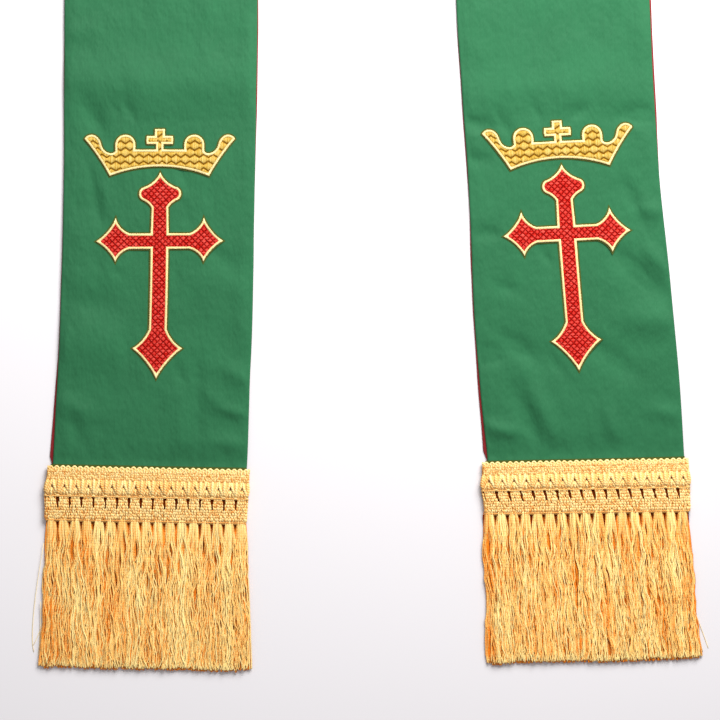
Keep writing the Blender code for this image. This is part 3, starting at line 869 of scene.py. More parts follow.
def new_material(name):
    """Material with its graph and its shader."""
    material = bpy.data.materials.new(name)
    material.use_nodes = True
    graph = Graph(material.node_tree)
    shader = material.node_tree.nodes["Principled BSDF"]
    return material, graph, shader


def place_group(graph, tree, **values):
    """Node of a group with its inputs fed; spaces in socket names are written as underscores."""
    item = graph.node("ShaderNodeGroup", node_tree=tree)
    for key, value in values.items():
        graph.feed(item.inputs[key.replace("_", " ")], value)
    return item


def cloth_material(name, settings, colour, roughness):
    """Cloth with a woven surface and an uneven hand."""
    material, graph, shader = new_material(name)
    cloth = place_group(
        graph,
        effect("woven_cloth"),
        Position=graph.node("ShaderNodeTexCoord").outputs["Object"],
        Warp_Pitch=settings.pitch,
        Weft_Pitch=settings.pitch,
        Colour=rgba(colour),
        Slub=settings.slub,
        Mottle=settings.mottle,
    )
    graph.feed(shader.inputs["Base Color"], cloth.outputs["Colour"])
    rough = graph.spread(cloth.outputs["Wear"], 0.3, 0.7, roughness - 0.05, roughness + 0.05)
    graph.feed(shader.inputs["Roughness"], rough)
    crumpled = graph.bump(cloth.outputs["Crumple"], settings.crumple_depth)
    graph.feed(shader.inputs["Normal"], graph.bump(cloth.outputs["Weave"], settings.weave_depth, crumpled))
    shader.inputs["Specular IOR Level"].default_value = 0.12
    return material


class Yarn(NamedTuple):
    """Make of a yarn: length of a twist in mm, strength of the twist, unevenness, roughness,
    relief in metres, and gloss."""

    pitch: float
    twist: float
    variation: float
    roughness: float
    depth: float
    gloss: float = 0.4


FRINGE_YARN = Yarn(1.6, 0.2, 0.75, 0.34, 0.00008, 0.7)
BRAID_YARN = Yarn(1.5, 0.6, 0.5, 0.4, 0.00015, 0.6)
GOLD_YARN = Yarn(0.6, 0.1, 0.25, 0.4, 0.00004)
RED_YARN = Yarn(0.6, 0.1, 0.25, 0.38, 0.00004, 0.15)
CREAM_YARN = Yarn(0.6, 0.1, 0.2, 0.4, 0.00004)
TRIM_SHADE_BACKING = Yarn(2.0, 0.1, 0.1, 0.8, 0.0001)
EMBLEM_SHADE_BACKING = Yarn(1.0, 0.1, 0.1, 0.8, 0.0001)
SHADE_LINE_YARN = Yarn(1.0, 0.1, 0.1, 0.8, 0.00004)


def thread_material(name, dyes, yarn):
    """Thread of a yarn, from strand to strand between its deep, middle and bright dyes."""
    deep, middle, bright = dyes
    material, graph, shader = new_material(name)
    thread = place_group(
        graph,
        effect("dyed_thread"),
        Deep=rgba(deep),
        Middle=rgba(middle),
        Bright=rgba(bright),
        Tone=graph.value("tone"),
        Run=graph.value("run"),
        Side=graph.value("side"),
        Twist_Pitch=yarn.pitch,
        Twist=yarn.twist,
        Variation=yarn.variation,
    )
    graph.feed(shader.inputs["Base Color"], thread.outputs["Colour"])
    rough = graph.spread(thread.outputs["Gloss"], 0.3, 0.7, yarn.roughness + 0.08, yarn.roughness - 0.08)
    graph.feed(shader.inputs["Roughness"], rough)
    graph.feed(shader.inputs["Normal"], graph.bump(thread.outputs["Height"], yarn.depth))
    shader.inputs["Specular IOR Level"].default_value = yarn.gloss
    shader.inputs["Specular Tint"].default_value = rgba(bright)
    return material


def shared_thread(name, dyes, yarn):
    """Thread that more than one operator uses, made the first time that it is asked for."""
    return bpy.data.materials.get(name) or thread_material(name, dyes, yarn)


def dyes_of(settings, name):
    """Deep, middle and bright dyes of a thread."""
    return [getattr(settings, f"{name}_{level}") for level in ("deep", "middle", "bright")]


def effect(name):
    """Shared node group, made the first time that it is asked for."""
    makers = {"woven_cloth": woven_cloth_group, "dyed_thread": dyed_thread_group}
    return bpy.data.node_groups.get(name) or makers[name]()


# Outlines and stitches.


def outline(corners):
    """Closed outline from half of it, whose first and last corners lie on the axis."""
    points = []
    for start, end in zip(corners, corners[1:]):
        a, b = np.array((start.x, start.y)), np.array((end.x, end.y))
        chord = np.linalg.norm(b - a)
        ahead = (b - a) / chord
        outward = np.array((ahead[1], -ahead[0]))
        points.append(a)
        if start.bow:
            radius = (chord**2 / 4 + start.bow**2) / (2 * abs(start.bow))
            turn = 4 * math.atan(2 * abs(start.bow) / chord)
            for step in range(1, start.steps):
                angle = (step / start.steps - 0.5) * turn
                swell = radius * math.cos(angle) - (radius - abs(start.bow))
                across = outward * math.copysign(swell, start.bow)
                points.append((a + b) / 2 + ahead * radius * math.sin(angle) + across)
    points.append(np.array((corners[-1].x, corners[-1].y)))
    mirrored = [point * (-1, 1) for point in reversed(points[1:-1])]
    return np.array(points + mirrored)


# The least cosine that a width is divided by at a corner, so that a sharp one isn't drawn out far.
SHARPEST = 0.35


def inset(points, width):
    """Outline moved inwards by a width, or outwards where the width is below 0."""
    arrive = points - np.roll(points, 1, axis=0)
    leave = np.roll(points, -1, axis=0) - points
    arrive = arrive / np.linalg.norm(arrive, axis=1, keepdims=True)
    leave = leave / np.linalg.norm(leave, axis=1, keepdims=True)
    square = np.column_stack((-arrive[:, 1], arrive[:, 0]))
    inward = square + np.column_stack((-leave[:, 1], leave[:, 0]))
    inward /= np.linalg.norm(inward, axis=1, keepdims=True)
    facing = np.maximum(SHARPEST, (inward * square).sum(axis=1))
    return points + inward * (width / facing)[:, None]


def crossings(points, level, axis):
    """Places along a line where it goes in and out of an outline, in pairs."""
    a, b = points, np.roll(points, -1, axis=0)
    level_a, level_b = a[:, 1 - axis] - level, b[:, 1 - axis] - level
    cuts = (level_a > 0) != (level_b > 0)
    share = level_a[cuts] / (level_a[cuts] - level_b[cuts])
    places = np.sort(a[cuts, axis] + share * (b[cuts, axis] - a[cuts, axis]))
    return places.reshape(-1, 2)


def on_cloth(half, spot, part):
    """Shell from an emblem's own plane, turned and laid on the cloth."""
    x, y, z = part.points.T
    turn = math.radians(spot.turn)
    across, up = x * math.cos(turn) - y * math.sin(turn), x * math.sin(turn) + y * math.cos(turn)
    flat = place(half, spot.v + up, spot.u + across)
    return part._replace(points=np.column_stack((flat, z + EMBLEM_BASE)))


# Shapes of a satin stitch and a fill stitch: how far along, how high and how broad.
SATIN_STATIONS = np.array((0.0, 0.1, 0.3, 0.55, 0.8, 1.0))
SATIN_HEIGHTS = np.array((0.0, 0.55, 0.94, 1.0, 0.78, 0.3))
SATIN_BREADTHS = np.array((0.6, 1.0, 1.0, 1.0, 1.0, 0.6))
FILL_STATIONS = np.array((0.0, 0.16, 0.5, 0.84, 1.0))
FILL_HEIGHTS = np.array((0.0, 0.7, 1.0, 0.7, 0.0))
FILL_BREADTHS = np.array((0.4, 0.95, 1.0, 0.95, 0.4))

# Heights over an emblem's base: its line of painted shade round the rim, its dark under-layer of painted
# shade, and its stitches' feet with their half thickness.
SHADE_LINE_HEIGHTS = (-SEAM_GAP + 0.02, -SEAM_GAP + 0.14)
SHADE_GROUND_HEIGHTS = (-SEAM_GAP + 0.1, 0.28)
SHADE_GROUND_INSET = 0.1
SATIN_FOOT, SATIN_THICK = 0.08, 0.13
FILL_FOOT, FILL_THICK = 0.3, 0.15

# Fill stitches: their reach under the border, how near a row's end and each other breaks may come, the
# shortest stitch that is kept, and the highest bow.
FILL_OVERLAP = 0.3
EDGE_CLEAR = 0.3
BREAKS_APART = 0.5
SHORTEST_STITCH = 0.25
HIGHEST_BOW = 0.42


def stitches(starts, ends, base, rise, breadth, depth, profile, material, tone):
    """Thread stitches from starts to ends, each bowed up by its own rise."""
    stations, heights, breadths = profile
    flat = starts[:, None] + (ends - starts)[:, None] * stations[None, :, None]
    z = base + np.asarray(rise).reshape(-1, 1) * heights
    paths = np.concatenate((flat, np.broadcast_to(z, flat.shape[:2])[..., None]), axis=-1)
    return tubes(paths, breadth * breadths, depth * breadths, 3, material, tone)


def satin_border(corners, settings, chance, material):
    """Satin stitches side by side, from the rim of an outline to its inner line."""
    width, pitch = settings.border_width / MM, settings.border_pitch / MM
    rim = outline(corners)
    inner = inset(rim, width)
    starts, ends = [], []
    for i, (rim_a, inner_a) in enumerate(zip(rim, inner)):
        rim_b, inner_b = rim[(i + 1) % len(rim)], inner[(i + 1) % len(rim)]
        longer = max(np.linalg.norm(rim_b - rim_a), np.linalg.norm(inner_b - inner_a))
        count = max(1, round(longer / pitch))
        share = ((np.arange(count) + 0.5) / count)[:, None]
        starts.append(rim_a + (rim_b - rim_a) * share)
        ends.append(inner_a + (inner_b - inner_a) * share)
    starts, ends = np.concatenate(starts), np.concatenate(ends)
    reach = np.linalg.norm(ends - starts, axis=1, keepdims=True)
    starts = starts - (ends - starts) / reach * chance.uniform(-0.18, 0.02, (len(starts), 1))
    rise = settings.border_rise / MM * chance.uniform(0.9, 1.0, len(starts))
    tone = chance.normal(0.72, 0.1, len(starts))
    profile = (SATIN_STATIONS, SATIN_HEIGHTS, SATIN_BREADTHS)
    return stitches(starts, ends, SATIN_FOOT, rise, pitch * 0.6, SATIN_THICK, profile, material, tone)


def lattice_fill(corners, settings, chance, material):
    """Rows of stitches whose ends line up on two sets of diagonals."""
    area = inset(outline(corners), settings.border_width / MM - FILL_OVERLAP)
    pitch, lattice = settings.fill_pitch / MM, settings.lattice_width / MM
    wide_gap, narrow_gap = settings.lattice_gap / MM, 0.4 * settings.lattice_gap / MM
    starts, ends = [], []
    for row in range(math.floor(area[:, 1].min() / pitch), math.ceil(area[:, 1].max() / pitch) + 1):
        y = row * pitch + pitch * 0.37
        for left, right in crossings(area, y, 0):
            line = np.arange(math.floor(left / lattice) - 30, math.ceil(right / lattice) + 30)
            breaks = np.concatenate((line * lattice + y, line * lattice - y))
            gaps = np.tile(np.where(line % 2, narrow_gap, wide_gap), 2)
            order = np.argsort(breaks)
            breaks, gaps = breaks[order], gaps[order]
            inside = (breaks > left + EDGE_CLEAR) & (breaks < right - EDGE_CLEAR)
            kept = inside & (np.diff(breaks, prepend=-np.inf) > BREAKS_APART)
            breaks, gaps = breaks[kept], gaps[kept]
            lows = np.concatenate(((left,), breaks + gaps / 2))
            highs = np.concatenate((breaks - gaps / 2, (right,)))
            starts.append(np.column_stack((lows, np.full(len(lows), y))))
            ends.append(np.column_stack((highs, np.full(len(lows), y))))
    starts, ends = np.concatenate(starts), np.concatenate(ends)
    return fill_stitches(starts, ends, pitch, chance, material, (0.16, 0.06), 0.1)


# A zigzag line's height above the middle of the crown's lower edge, where its crests lie, and the
# numbers of the lines, below and above it.
ZIGZAG_FIRST = 2.45
ZIGZAG_CREST = 1.6
ZIGZAG_LINES = range(-3, 7)


def zigzag(x, crest, period, depth):
    """Height of a zigzag line whose tops lie at the crest, a period apart."""
    share = np.mod((x - crest) / period, 1.0)
    return depth * (abs(share - 0.5) * 2 - 0.5)


def zigzag_fill(corners, settings, chance, material):
    """Columns of stitches between zigzag lines, which show as thin gaps."""
    area = inset(outline(corners), settings.border_width / MM - FILL_OVERLAP)
    pitch, period = settings.fill_pitch / MM, settings.zigzag_period / MM
    spacing, depth = settings.zigzag_spacing / MM, settings.zigzag_depth / MM
    gap = settings.zigzag_gap / MM
    starts, ends = [], []
    for column in range(math.floor(area[:, 0].min() / pitch), math.ceil(area[:, 0].max() / pitch) + 1):
        x = column * pitch
        lines = []
        for line in ZIGZAG_LINES:
            crest = ZIGZAG_CREST + (line % 2) * period / 2
            lines.append(ZIGZAG_FIRST + line * spacing + zigzag(x, crest, period, depth))
        for low, high in crossings(area, x, 1):
            inside = [y for y in lines if low + EDGE_CLEAR < y < high - EDGE_CLEAR]
            lows = [low, *(y + gap / 2 for y in inside)]
            highs = [*(y - gap / 2 for y in inside), high]
            starts += [(x, y) for y in lows]
            ends += [(x, y) for y in highs]
    starts, ends = np.array(starts), np.array(ends)
    return fill_stitches(starts, ends, pitch, chance, material, (0.19, 0.035), 0.14)


def fill_stitches(starts, ends, pitch, chance, material, rise, tone_spread):
    """Fill stitches, bowed up by a rise and a rise for each mm, and lit most in the middle."""
    length = np.linalg.norm(ends - starts, axis=1)
    kept = length > SHORTEST_STITCH
    starts, ends, length = starts[kept], ends[kept], length[kept]
    bow = np.minimum(HIGHEST_BOW, rise[0] + rise[1] * length)
    # Painted highlight: longer stitches and the middle of each stitch are lighter.
    tone = chance.normal(0.46, tone_spread, len(starts)) + 0.07 * np.minimum(length, 4.0) - 0.1
    tone = tone[:, None] + 0.34 * (FILL_HEIGHTS - 0.6)
    profile = (FILL_STATIONS, FILL_HEIGHTS, FILL_BREADTHS)
    return stitches(starts, ends, FILL_FOOT, bow, pitch * 0.56, FILL_THICK, profile, material, tone)


def make_emblem(half, name, corners, fill, settings, materials, seed):
    """A stitched emblem: a line of painted shade round it, a dark under-layer of painted shade, its fill and
    its satin border.
    """
    chance = np.random.default_rng(seed)
    rim = outline(corners)
    shells = [
        # Painted shade: a dark line round the rim, standing for the shadow at the border's edge.
        plate(inset(rim, -settings.shade_line_width / MM), *SHADE_LINE_HEIGHTS, 0),
        # Dark under-layer: painted shade in the gaps between the fill stitches.
        plate(inset(rim, SHADE_GROUND_INSET), *SHADE_GROUND_HEIGHTS, 1),
        fill(corners, settings, chance, 2),
        satin_border(corners, settings, chance, 3),
    ]
    parts = [on_cloth(half, getattr(half, name), part) for part in shells]
    return build(f"{name}_{half.name}_stitching", parts, materials)


def stitch_emblems(name, corners, fill, settings, thread, ground, slot, seed):
    """The same emblem on both halves, of its own thread over a dark under-layer of painted shade, in a cream
    border.
    """
    shade_line = pulled_cloth(settings)
    border = shared_thread("cream_thread", dyes_of(settings, "cream"), CREAM_YARN)
    for half in HALVES:
        materials = (shade_line, ground, thread, border)
        item = make_emblem(half, name, corners, fill, settings, materials, seed + half.side)
        dress(item, slot, f"{name}_{half.name}")


def pulled_cloth(settings):
    """A dark cloth colour that paints shade round the stitching and above the heading's loops."""
    return shared_thread("pulled_cloth", [settings.shade_line_colour] * 3, SHADE_LINE_YARN)


# Cloth.

# The face cloth's rolled edge: its radius and its lowest height.
EDGE_RADIUS = 1.1
EDGE_LOW = 1.06
# Reach to each side of the arc that sets the face cloth's columns, closer toward its edges.
COLUMN_REACH = 0.46 * math.pi
# The least thickness of the face cloth.
FACE_THINNEST = 0.45
# Where the face cloth's underside has its points: share of the width, and height.
UNDER_SHARES = np.array((0.9992, 0.9965, 0.5, 0.0035, 0.0008))
UNDER_HEIGHTS = np.array((EDGE_LOW, FACE_BASE, FACE_BASE, FACE_BASE, EDGE_LOW))
# Seeds of the uneven left and right edges and of the face's swell, to which a half adds its side.
FACE_EDGE_SEEDS = (31, 41)
LINING_EDGE_SEEDS = (61, 71)
FACE_SWELL_SEED = 51
# The lining's round edge: distance inwards in mm, and share of its thickness.
LINING_EDGE = ((0.5, 0.0), (0.12, 0.14), (0.0, 0.5), (0.14, 0.86), (0.5, 1.0))
# What is left of a ridge under the stitching.
RIDGE_LEFT = 0.05
# Puckers over the heading: their depth, and how soon they start and fade above it.
PUCKER_DEPTH = 0.45
PUCKER_START = 4.0
PUCKER_FADE = 11.0


def edge_wander(v, seed):
    """Small unevenness of a pressed edge."""
    return ripple(v, 0.0 * v, seed, waves=6, longest=90.0, height=0.16)


def face_surface(half, v, u, width, settings):
    """Height of the face cloth's upper side: its puff, folds, creases and swell."""
    inside = width / 2 - abs(u)
    puff = PUFF * ease(inside / PUFF_RISE)
    near_edge = ease(inside / PUFF_RISE + FOLD_AT_EDGE)
    clear = ease((v - HEADING_HEIGHT - HEADING_CLEAR) / HEADING_FADE)
    relief = settings.fold_scale * fold_heights(half.folds, v, u)
    relief += settings.crease_scale * fold_heights(half.creases, v, u)
    relief *= half.slack
    relief += ripple(v, u, FACE_SWELL_SEED + half.side, waves=14, longest=60.0, height=settings.swell / MM)
    raised = np.maximum(relief, 0.0) * (RIDGE_LEFT + (1 - RIDGE_LEFT) * calm(half, v, u))
    top = FACE_TOP + clear * (puff + near_edge * (raised + np.minimum(relief, 0.0)))
    return np.maximum(top + hem_puckers(half, v, u), FACE_BASE + FACE_THINNEST)


def hem_puckers(half, v, u):
    """Shallow puckers where the heading is sewn on."""
    above = v - half.heading_height
    fade = ease(above / PUCKER_START) * np.exp(-np.maximum(above, 0.0) / PUCKER_FADE)
    narrow = np.sin(math.tau * u / 9.0 + 3.0 * np.sin(u / 13.0 + half.side))
    wave = narrow * np.sin(u / 8.0 + 2.0 * half.side)
    return PUCKER_DEPTH * fade * (wave - 1.0)


def make_face(half, settings, material):
    """Face cloth of a half: a thin closed shell with a rolled edge."""
    v, left, right = cloth_rows(half, settings.low_pitch / MM, settings.high_pitch / MM)
    width = np.linalg.norm(right - left, axis=1)
    across = (right - left) / width[:, None]
    left = left + across * edge_wander(v, FACE_EDGE_SEEDS[0] + half.side)[:, None]
    right = right + across * edge_wander(v, FACE_EDGE_SEEDS[1] + half.side)[:, None]
    width = np.linalg.norm(right - left, axis=1)
    share = np.sin(np.linspace(-COLUMN_REACH, COLUMN_REACH, settings.columns)) / math.sin(COLUMN_REACH)
    u = share[None] * width[:, None] / 2
    top = face_surface(half, v[:, None], u, width[:, None], settings)
    inside = width[:, None] / 2 - abs(u)
    roll = EDGE_RADIUS * (1 - np.sqrt(1 - (1 - np.minimum(inside / EDGE_RADIUS, 1.0)) ** 2))
    top = top - roll
    flat = left[:, None] + (right - left)[:, None] * ((share + 1) / 2)[None, :, None]
    upper = np.concatenate((flat, top[..., None]), axis=-1)
    under = left[:, None] + (right - left)[:, None] * UNDER_SHARES[None, :, None]
    heights = np.broadcast_to(UNDER_HEIGHTS, under.shape[:2])[..., None]
    lower = np.concatenate((under, heights), axis=-1)
    rings = np.concatenate((upper[:, ::-1], lower[:, ::-1]), axis=1)
    return build(f"face_{half.name}_cloth", [ringed(rings)], [material])


def make_lining(half, settings, material):
    """Lining: a flat wall with round edges, past the face cloth where the peeks say."""
    v, left, right = cloth_rows(half, settings.lining_pitch / MM, settings.lining_pitch / MM)
    across = (right - left) / np.linalg.norm(right - left, axis=1, keepdims=True)
    peek_left, peek_right = along(half.peeks, v)
    wander_left, wander_right = (edge_wander(v, seed + half.side) for seed in LINING_EDGE_SEEDS)
    left = left - across * (peek_left + wander_left)[:, None]
    right = right + across * (peek_right + wander_right)[:, None]
    lines = [(left + across * inward, share) for inward, share in LINING_EDGE]
    lines += [(left + (right - left) * share, 1.0) for share in (0.25, 0.5, 0.75)]
    lines += [(right - across * inward, share) for inward, share in reversed(LINING_EDGE)]
    rings = [np.insert(flat, 2, share * LINING_THICK, axis=1) for flat, share in lines]
    rings = np.stack(rings, axis=1)[:, ::-1]
    return build(f"lining_{half.name}_cloth", [ringed(rings)], [material])


# The heading, in its own measures: u across it, q up the tallest heading, and h over its base.

# How its ends turn down over the cloth's edges, its loops, and the height of its foot on the cloth.
TURN_RADIUS = 1.8
TURNED_REACH = TURN_RADIUS * math.pi / 2 + 1.7
LOOPS_PER_REPEAT = 2
HEADING_FOOT = 1.0
# Where its left end is swollen: middle, reach up and down, and reach inwards.
SWELL_Q = 16.0
SWELL_REACH = 8.0
SWELL_INWARD = 9.0
HEADING_SEED = 80
# Rows of chain stitches in a band, how far a bundle's outer yarns sink, and how girths vary.
CHAIN_ROWS = 4
BUNDLE_DROOP = 0.2
GIRTHS = (0.94, 1.06)


def heading_points(half, points):
    """Points of a heading, laid on the cloth with its ends turned down."""
    u, q, h = points[..., 0], points[..., 1], points[..., 2]
    flat = half.heading_width / 2 - TURN_RADIUS
    near_left = ease((-u - flat + SWELL_INWARD) / SWELL_INWARD)
    swell = half.heading_swell * near_left * np.exp(-(((q - SWELL_Q) / SWELL_REACH) ** 2))
    over = np.maximum(abs(u) - flat, 0.0)
    turn = np.minimum(over / TURN_RADIUS, math.pi / 2)
    drop = np.maximum(over - TURN_RADIUS * math.pi / 2, 0.0)
    reach = np.sign(u) * (np.minimum(abs(u), flat) + h * np.sin(turn)) - swell
    v = HEADING_FOOT + q * (half.heading_height - HEADING_FOOT) / HEADING_HEIGHT
    level = place(half, v, half.heading_u + reach)
    return np.concatenate((level, (HEADING_BASE + h * np.cos(turn) - drop)[..., None]), axis=-1)


def repeat_width(half):
    """Width of one repeat of the heading."""
    return (half.heading_width - 2 * HEADING_ROUND) / REPEATS


def repeat_places(half, per_repeat, offset=0.0):
    """Places across the heading of something that comes so many times in each repeat, past its ends too."""
    step = repeat_width(half) / per_repeat
    first = -half.heading_width / 2 + HEADING_ROUND
    places = first + (np.arange(-per_repeat, (REPEATS + 1) * per_repeat + 1) + offset) * step
    return places[abs(places) < half.heading_width / 2 - TURN_RADIUS + TURNED_REACH]


def yarns(
    half, places, shape, breadth, depth, tone, chance, sides=4, jitter=0.11, tone_spread=0.26, material=1
):
    """The same yarn at each place: its shape is u from the place, q and h at each of its points."""
    shape = np.asarray(shape, float)
    paths = np.tile(shape, (len(places), 1, 1))
    paths[..., 0] += places[:, None]
    for axis, spread in enumerate((jitter, jitter, jitter / 2)):
        paths[..., axis] += chance.normal(0.0, spread, (len(places), 1))
    limit = half.heading_width / 2 - TURN_RADIUS + TURNED_REACH
    paths[..., 0] = np.clip(paths[..., 0], -limit, limit)
    # Yarns darker toward the heading's left end.
    toward_left_end = ease((4.5 - half.heading_width / 2 - places) / 5.0)
    tones = chance.normal(tone, tone_spread, len(places)) - 0.4 * toward_left_end
    grown = chance.uniform(*GIRTHS, (len(places), 1))
    return tubes(heading_points(half, paths), breadth * grown, depth * grown, sides, material, tones)


def chains(half, chance, columns, low, high, breadth, tone, pit, flare=0.0, slant=0.0):
    """Columns of chain stitches: in each, two legs that part and meet again, and leave a pit there."""
    pitch = (high - low) / CHAIN_ROWS
    girth = breadth * np.array((0.75, 1.0, 1.05, 0.95, 0.65))
    shells = []
    for offset in columns:
        places = repeat_places(half, 1, offset)
        for row in range(CHAIN_ROWS):
            q = low + row * pitch
            lean = (flare * (offset - 0.5) + slant) * (CHAIN_ROWS - row - 0.5) / CHAIN_ROWS
            for side in (-1, 1):
                leg = (
                    (lean + side * pit, q - 0.25 * pitch, 0.6),
                    (lean + side * 0.40, q + 0.22 * pitch, 1.05),
                    (lean + side * 0.46, q + 0.60 * pitch, 1.1),
                    (lean + side * 0.32, q + 1.00 * pitch, 1.05),
                    (lean + side * pit, q + 1.30 * pitch, 0.7),
                )
                shells.append(yarns(half, places, leg, girth, girth * 0.9, tone, chance, jitter=0.18))
    return shells


def loop_edge(half, chance):
    """Small loops along the heading's upper edge."""
    angle = np.radians(np.linspace(215, -35, 8))
    arc = [(1.08 * math.cos(a), 31.6 + 1.2 * math.sin(a), 1.0) for a in angle]
    shape = [(-0.5, 29.6, 0.7), *arc, (0.5, 29.6, 0.7)]
    places = repeat_places(half, LOOPS_PER_REPEAT, 0.5)
    return yarns(half, places, shape, 0.62, 0.5, 0.9, chance, sides=6, jitter=0.1, tone_spread=0.12)


# Where the chains of a band lie in each repeat, as shares of it.
KNIT_COLUMNS = (0.125, 0.375, 0.625, 0.875)
POST_COLUMNS = (0.26, 0.42, 0.58, 0.74)
# Shapes of a fan and a mound, as q, half width and h, and of a pit and a bump, as u, q and h.
FAN = (
    (15.2, 0.2, 0.85),
    (17.3, 0.8, 1.4),
    (19.3, 1.65, 1.6),
    (20.8, 2.4, 1.55),
    (22.4, 2.9, 1.4),
    (25.0, 3.2, 0.9),
)
MOUND = ((19.9, 0.1, 0.7), (18.8, 0.75, 1.25), (16.8, 1.8, 1.4), (14.4, 2.55, 1.0))
PIT = ((-0.1, 19.6, 1.05), (0.0, 20.5, 1.15), (0.1, 21.6, 1.05))
BUMP = ((-1.1, 14.5, 1.0), (-0.5, 15.0, 1.7), (0.5, 15.0, 1.7), (1.1, 14.5, 1.0))


def bundle(half, chance, places, shape, breadth, tone):
    """Bundles of three yarns side by side, the outer ones a little lower."""
    shells = []
    girth = breadth * np.concatenate(((0.85,), np.ones(len(shape) - 2), (0.85,)))
    for share in (-1.0, 0.0, 1.0):
        path = [(share * reach, q, h - BUNDLE_DROOP * share * share) for q, reach, h in shape]
        brightness = tone + 0.08 * (1 - abs(share))
        shells.append(yarns(half, places, path, girth, girth * 0.9, brightness, chance, tone_spread=0.15))
    return shells


def long_cord(half, chance, q, h, radius, tone, wave):
    """One yarn that runs the whole way across the heading."""
    reach = half.heading_width / 2 - TURN_RADIUS + TURNED_REACH
    u = np.linspace(-reach, reach, 10 * REPEATS + 1)
    swing = wave * np.sin(u * math.tau / repeat_width(half) + chance.uniform(0, math.tau))
    path = np.stack((u, q + swing, np.full(len(u), h)), axis=-1)[None]
    return tubes(heading_points(half, path), radius, radius, 6, 1, np.array((tone,)))


class Band(NamedTuple):
    """A stretch of the heading's dark under-layer, which paints shade between the yarns: its lower and upper
    q, its rise, its material and its tone.
    """

    low: float
    high: float
    rise: float
    material: int
    tone: float


BANDS = (
    Band(-1.6, 6.8, 0.5, 1, 0.3),
    Band(6.8, 14.4, 0.35, 0, 0.2),
    Band(14.4, 29.8, 1.0, 1, 0.44),
    Band(29.8, 32.3, 1.0, 1, 0.5),
)


def heading_shade_ground(half, band):
    """Thin dark under-layer beneath the yarns of a band, painted shade in their gaps, turned down at both
    ends.
    """
    flat = half.heading_width / 2 - TURN_RADIUS
    turned = np.linspace(flat, flat + TURNED_REACH, 8)
    outer = np.concatenate((turned[::-1], -turned))
    inner = np.array((-flat - TURNED_REACH, -flat, flat, flat + TURNED_REACH))
    u = np.concatenate((outer, inner))
    h = np.concatenate((np.full(len(outer), band.rise), np.zeros(len(inner))))
    rings = []
    for q in spaced(band.low, band.high, 3.0):
        rings.append(heading_points(half, np.stack((u, np.full(len(u), q), h), axis=-1)))
    return ringed(rings, band.material, True, band.tone)


def loop_shadow_strip(half):
    """Painted shadow: a dark strip along the heading's upper edge, where its loops are sewn down."""
    reach = half.heading_width / 2 - TURN_RADIUS - 0.6
    rings = []
    for u in spaced(-reach, reach, 4.0):
        corners = ((u, 30.8, -0.12), (u, 34.1, -0.12), (u, 34.1, -0.26), (u, 30.8, -0.26))
        rings.append(heading_points(half, np.array(corners)))
    return ringed(rings, 2, False, 0.5)


def make_heading(half, materials):
    """Braided heading: its dark under-layer and pits of painted shade, a strip of painted shadow above its
    loops, two knitted bands, fans over mounds, posts and a looped edge.
    """
    chance = np.random.default_rng(HEADING_SEED + half.side)
    slots, middles = repeat_places(half, 1), repeat_places(half, 1, 0.5)
    shells = [heading_shade_ground(half, band) for band in BANDS]
    shells.append(loop_shadow_strip(half))
    # Pits: yarn of the dark under-layer's colour, painted shade in the holes between the fans.
    shells.append(yarns(half, middles, PIT, (0.2, 0.6, 0.45), 0.15, 0.2, chance, jitter=0.2, material=0))
    shells += chains(half, chance, KNIT_COLUMNS, low=0.3, high=7.0, breadth=0.56, tone=0.54, pit=0.12)
    shells += chains(half, chance, KNIT_COLUMNS, low=24.6, high=30.4, breadth=0.56, tone=0.56, pit=0.28)
    lean = {"flare": 2.7, "slant": half.post_slant}
    shells += chains(half, chance, POST_COLUMNS, low=7.0, high=14.2, breadth=0.6, tone=0.54, pit=0.2, **lean)
    shells += bundle(half, chance, middles, MOUND, breadth=0.85, tone=0.54)
    shells += bundle(half, chance, slots, FAN, breadth=1.1, tone=0.6)
    shells.append(long_cord(half, chance, q=14.4, h=1.5, radius=0.36, tone=0.3, wave=0.12))
    shells.append(long_cord(half, chance, q=-0.5, h=0.9, radius=0.38, tone=0.1, wave=0.0))
    shells.append(yarns(half, slots, BUMP, 0.45, 0.42, 0.9, chance))
    shells.append(loop_edge(half, chance))
    return build(f"braid_{half.name}_yarns", shells, materials)


# The fringe.

# Seeds of the strands, of the trim's wave and of the lighter patches.
FRINGE_SEED, TRIM_SEED, PATCH_SEED = 90, 17, 7
# A bunch of strands: its width at its root, how far down it opens, where it starts, and its locks.
BUNCH_ROOT = 5.5
BUNCH_OPENS = 12.0
ROOT_START = -1.8
LOCKS = 3
# Distance down where the strands lie free, and where they have sunk onto the floor.
LOOSE_AT = 16.0
LYING_AT = 20.0
# Heights of the strands: their foot and the pile over it, at the root and where they lie.
ROOT_FOOT, ROOT_PILE = 1.2, 2.6
LYING_FOOT, LYING_PILE = 0.4, 3.0
# The fringe's sides: share of the pile there, how wide it slopes, and how uneven they are.
EDGE_PILE = 0.62
EDGE_SLOPE = 6.0
EDGE_SPREAD = (-1.6, 0.7)
# Share of the length where the tips part, and where they turn lighter as a painted highlight.
TIPS_PART = 0.93
TIPS_LIGHTEN = 0.95
# Shares of strands that are cut short, by how much, and that stray, by how many times as much as others.
SHORT_SHARE = 0.06
SHORTER = (2.0, 9.0)
STRAY_SHARE = 0.12
STRAY_MORE = 2.6


class Layer(NamedTuple):
    """Layer of a fringe: strands in each bunch, points along each, share of the pile where it lies,
    half breadth, how far it wanders, how much it gathers in locks, its tone, and how short it ends."""

    per_bunch: int
    steps: int
    low: float
    high: float
    breadth: float
    wander: float
    gather: float
    tone: float
    short: float


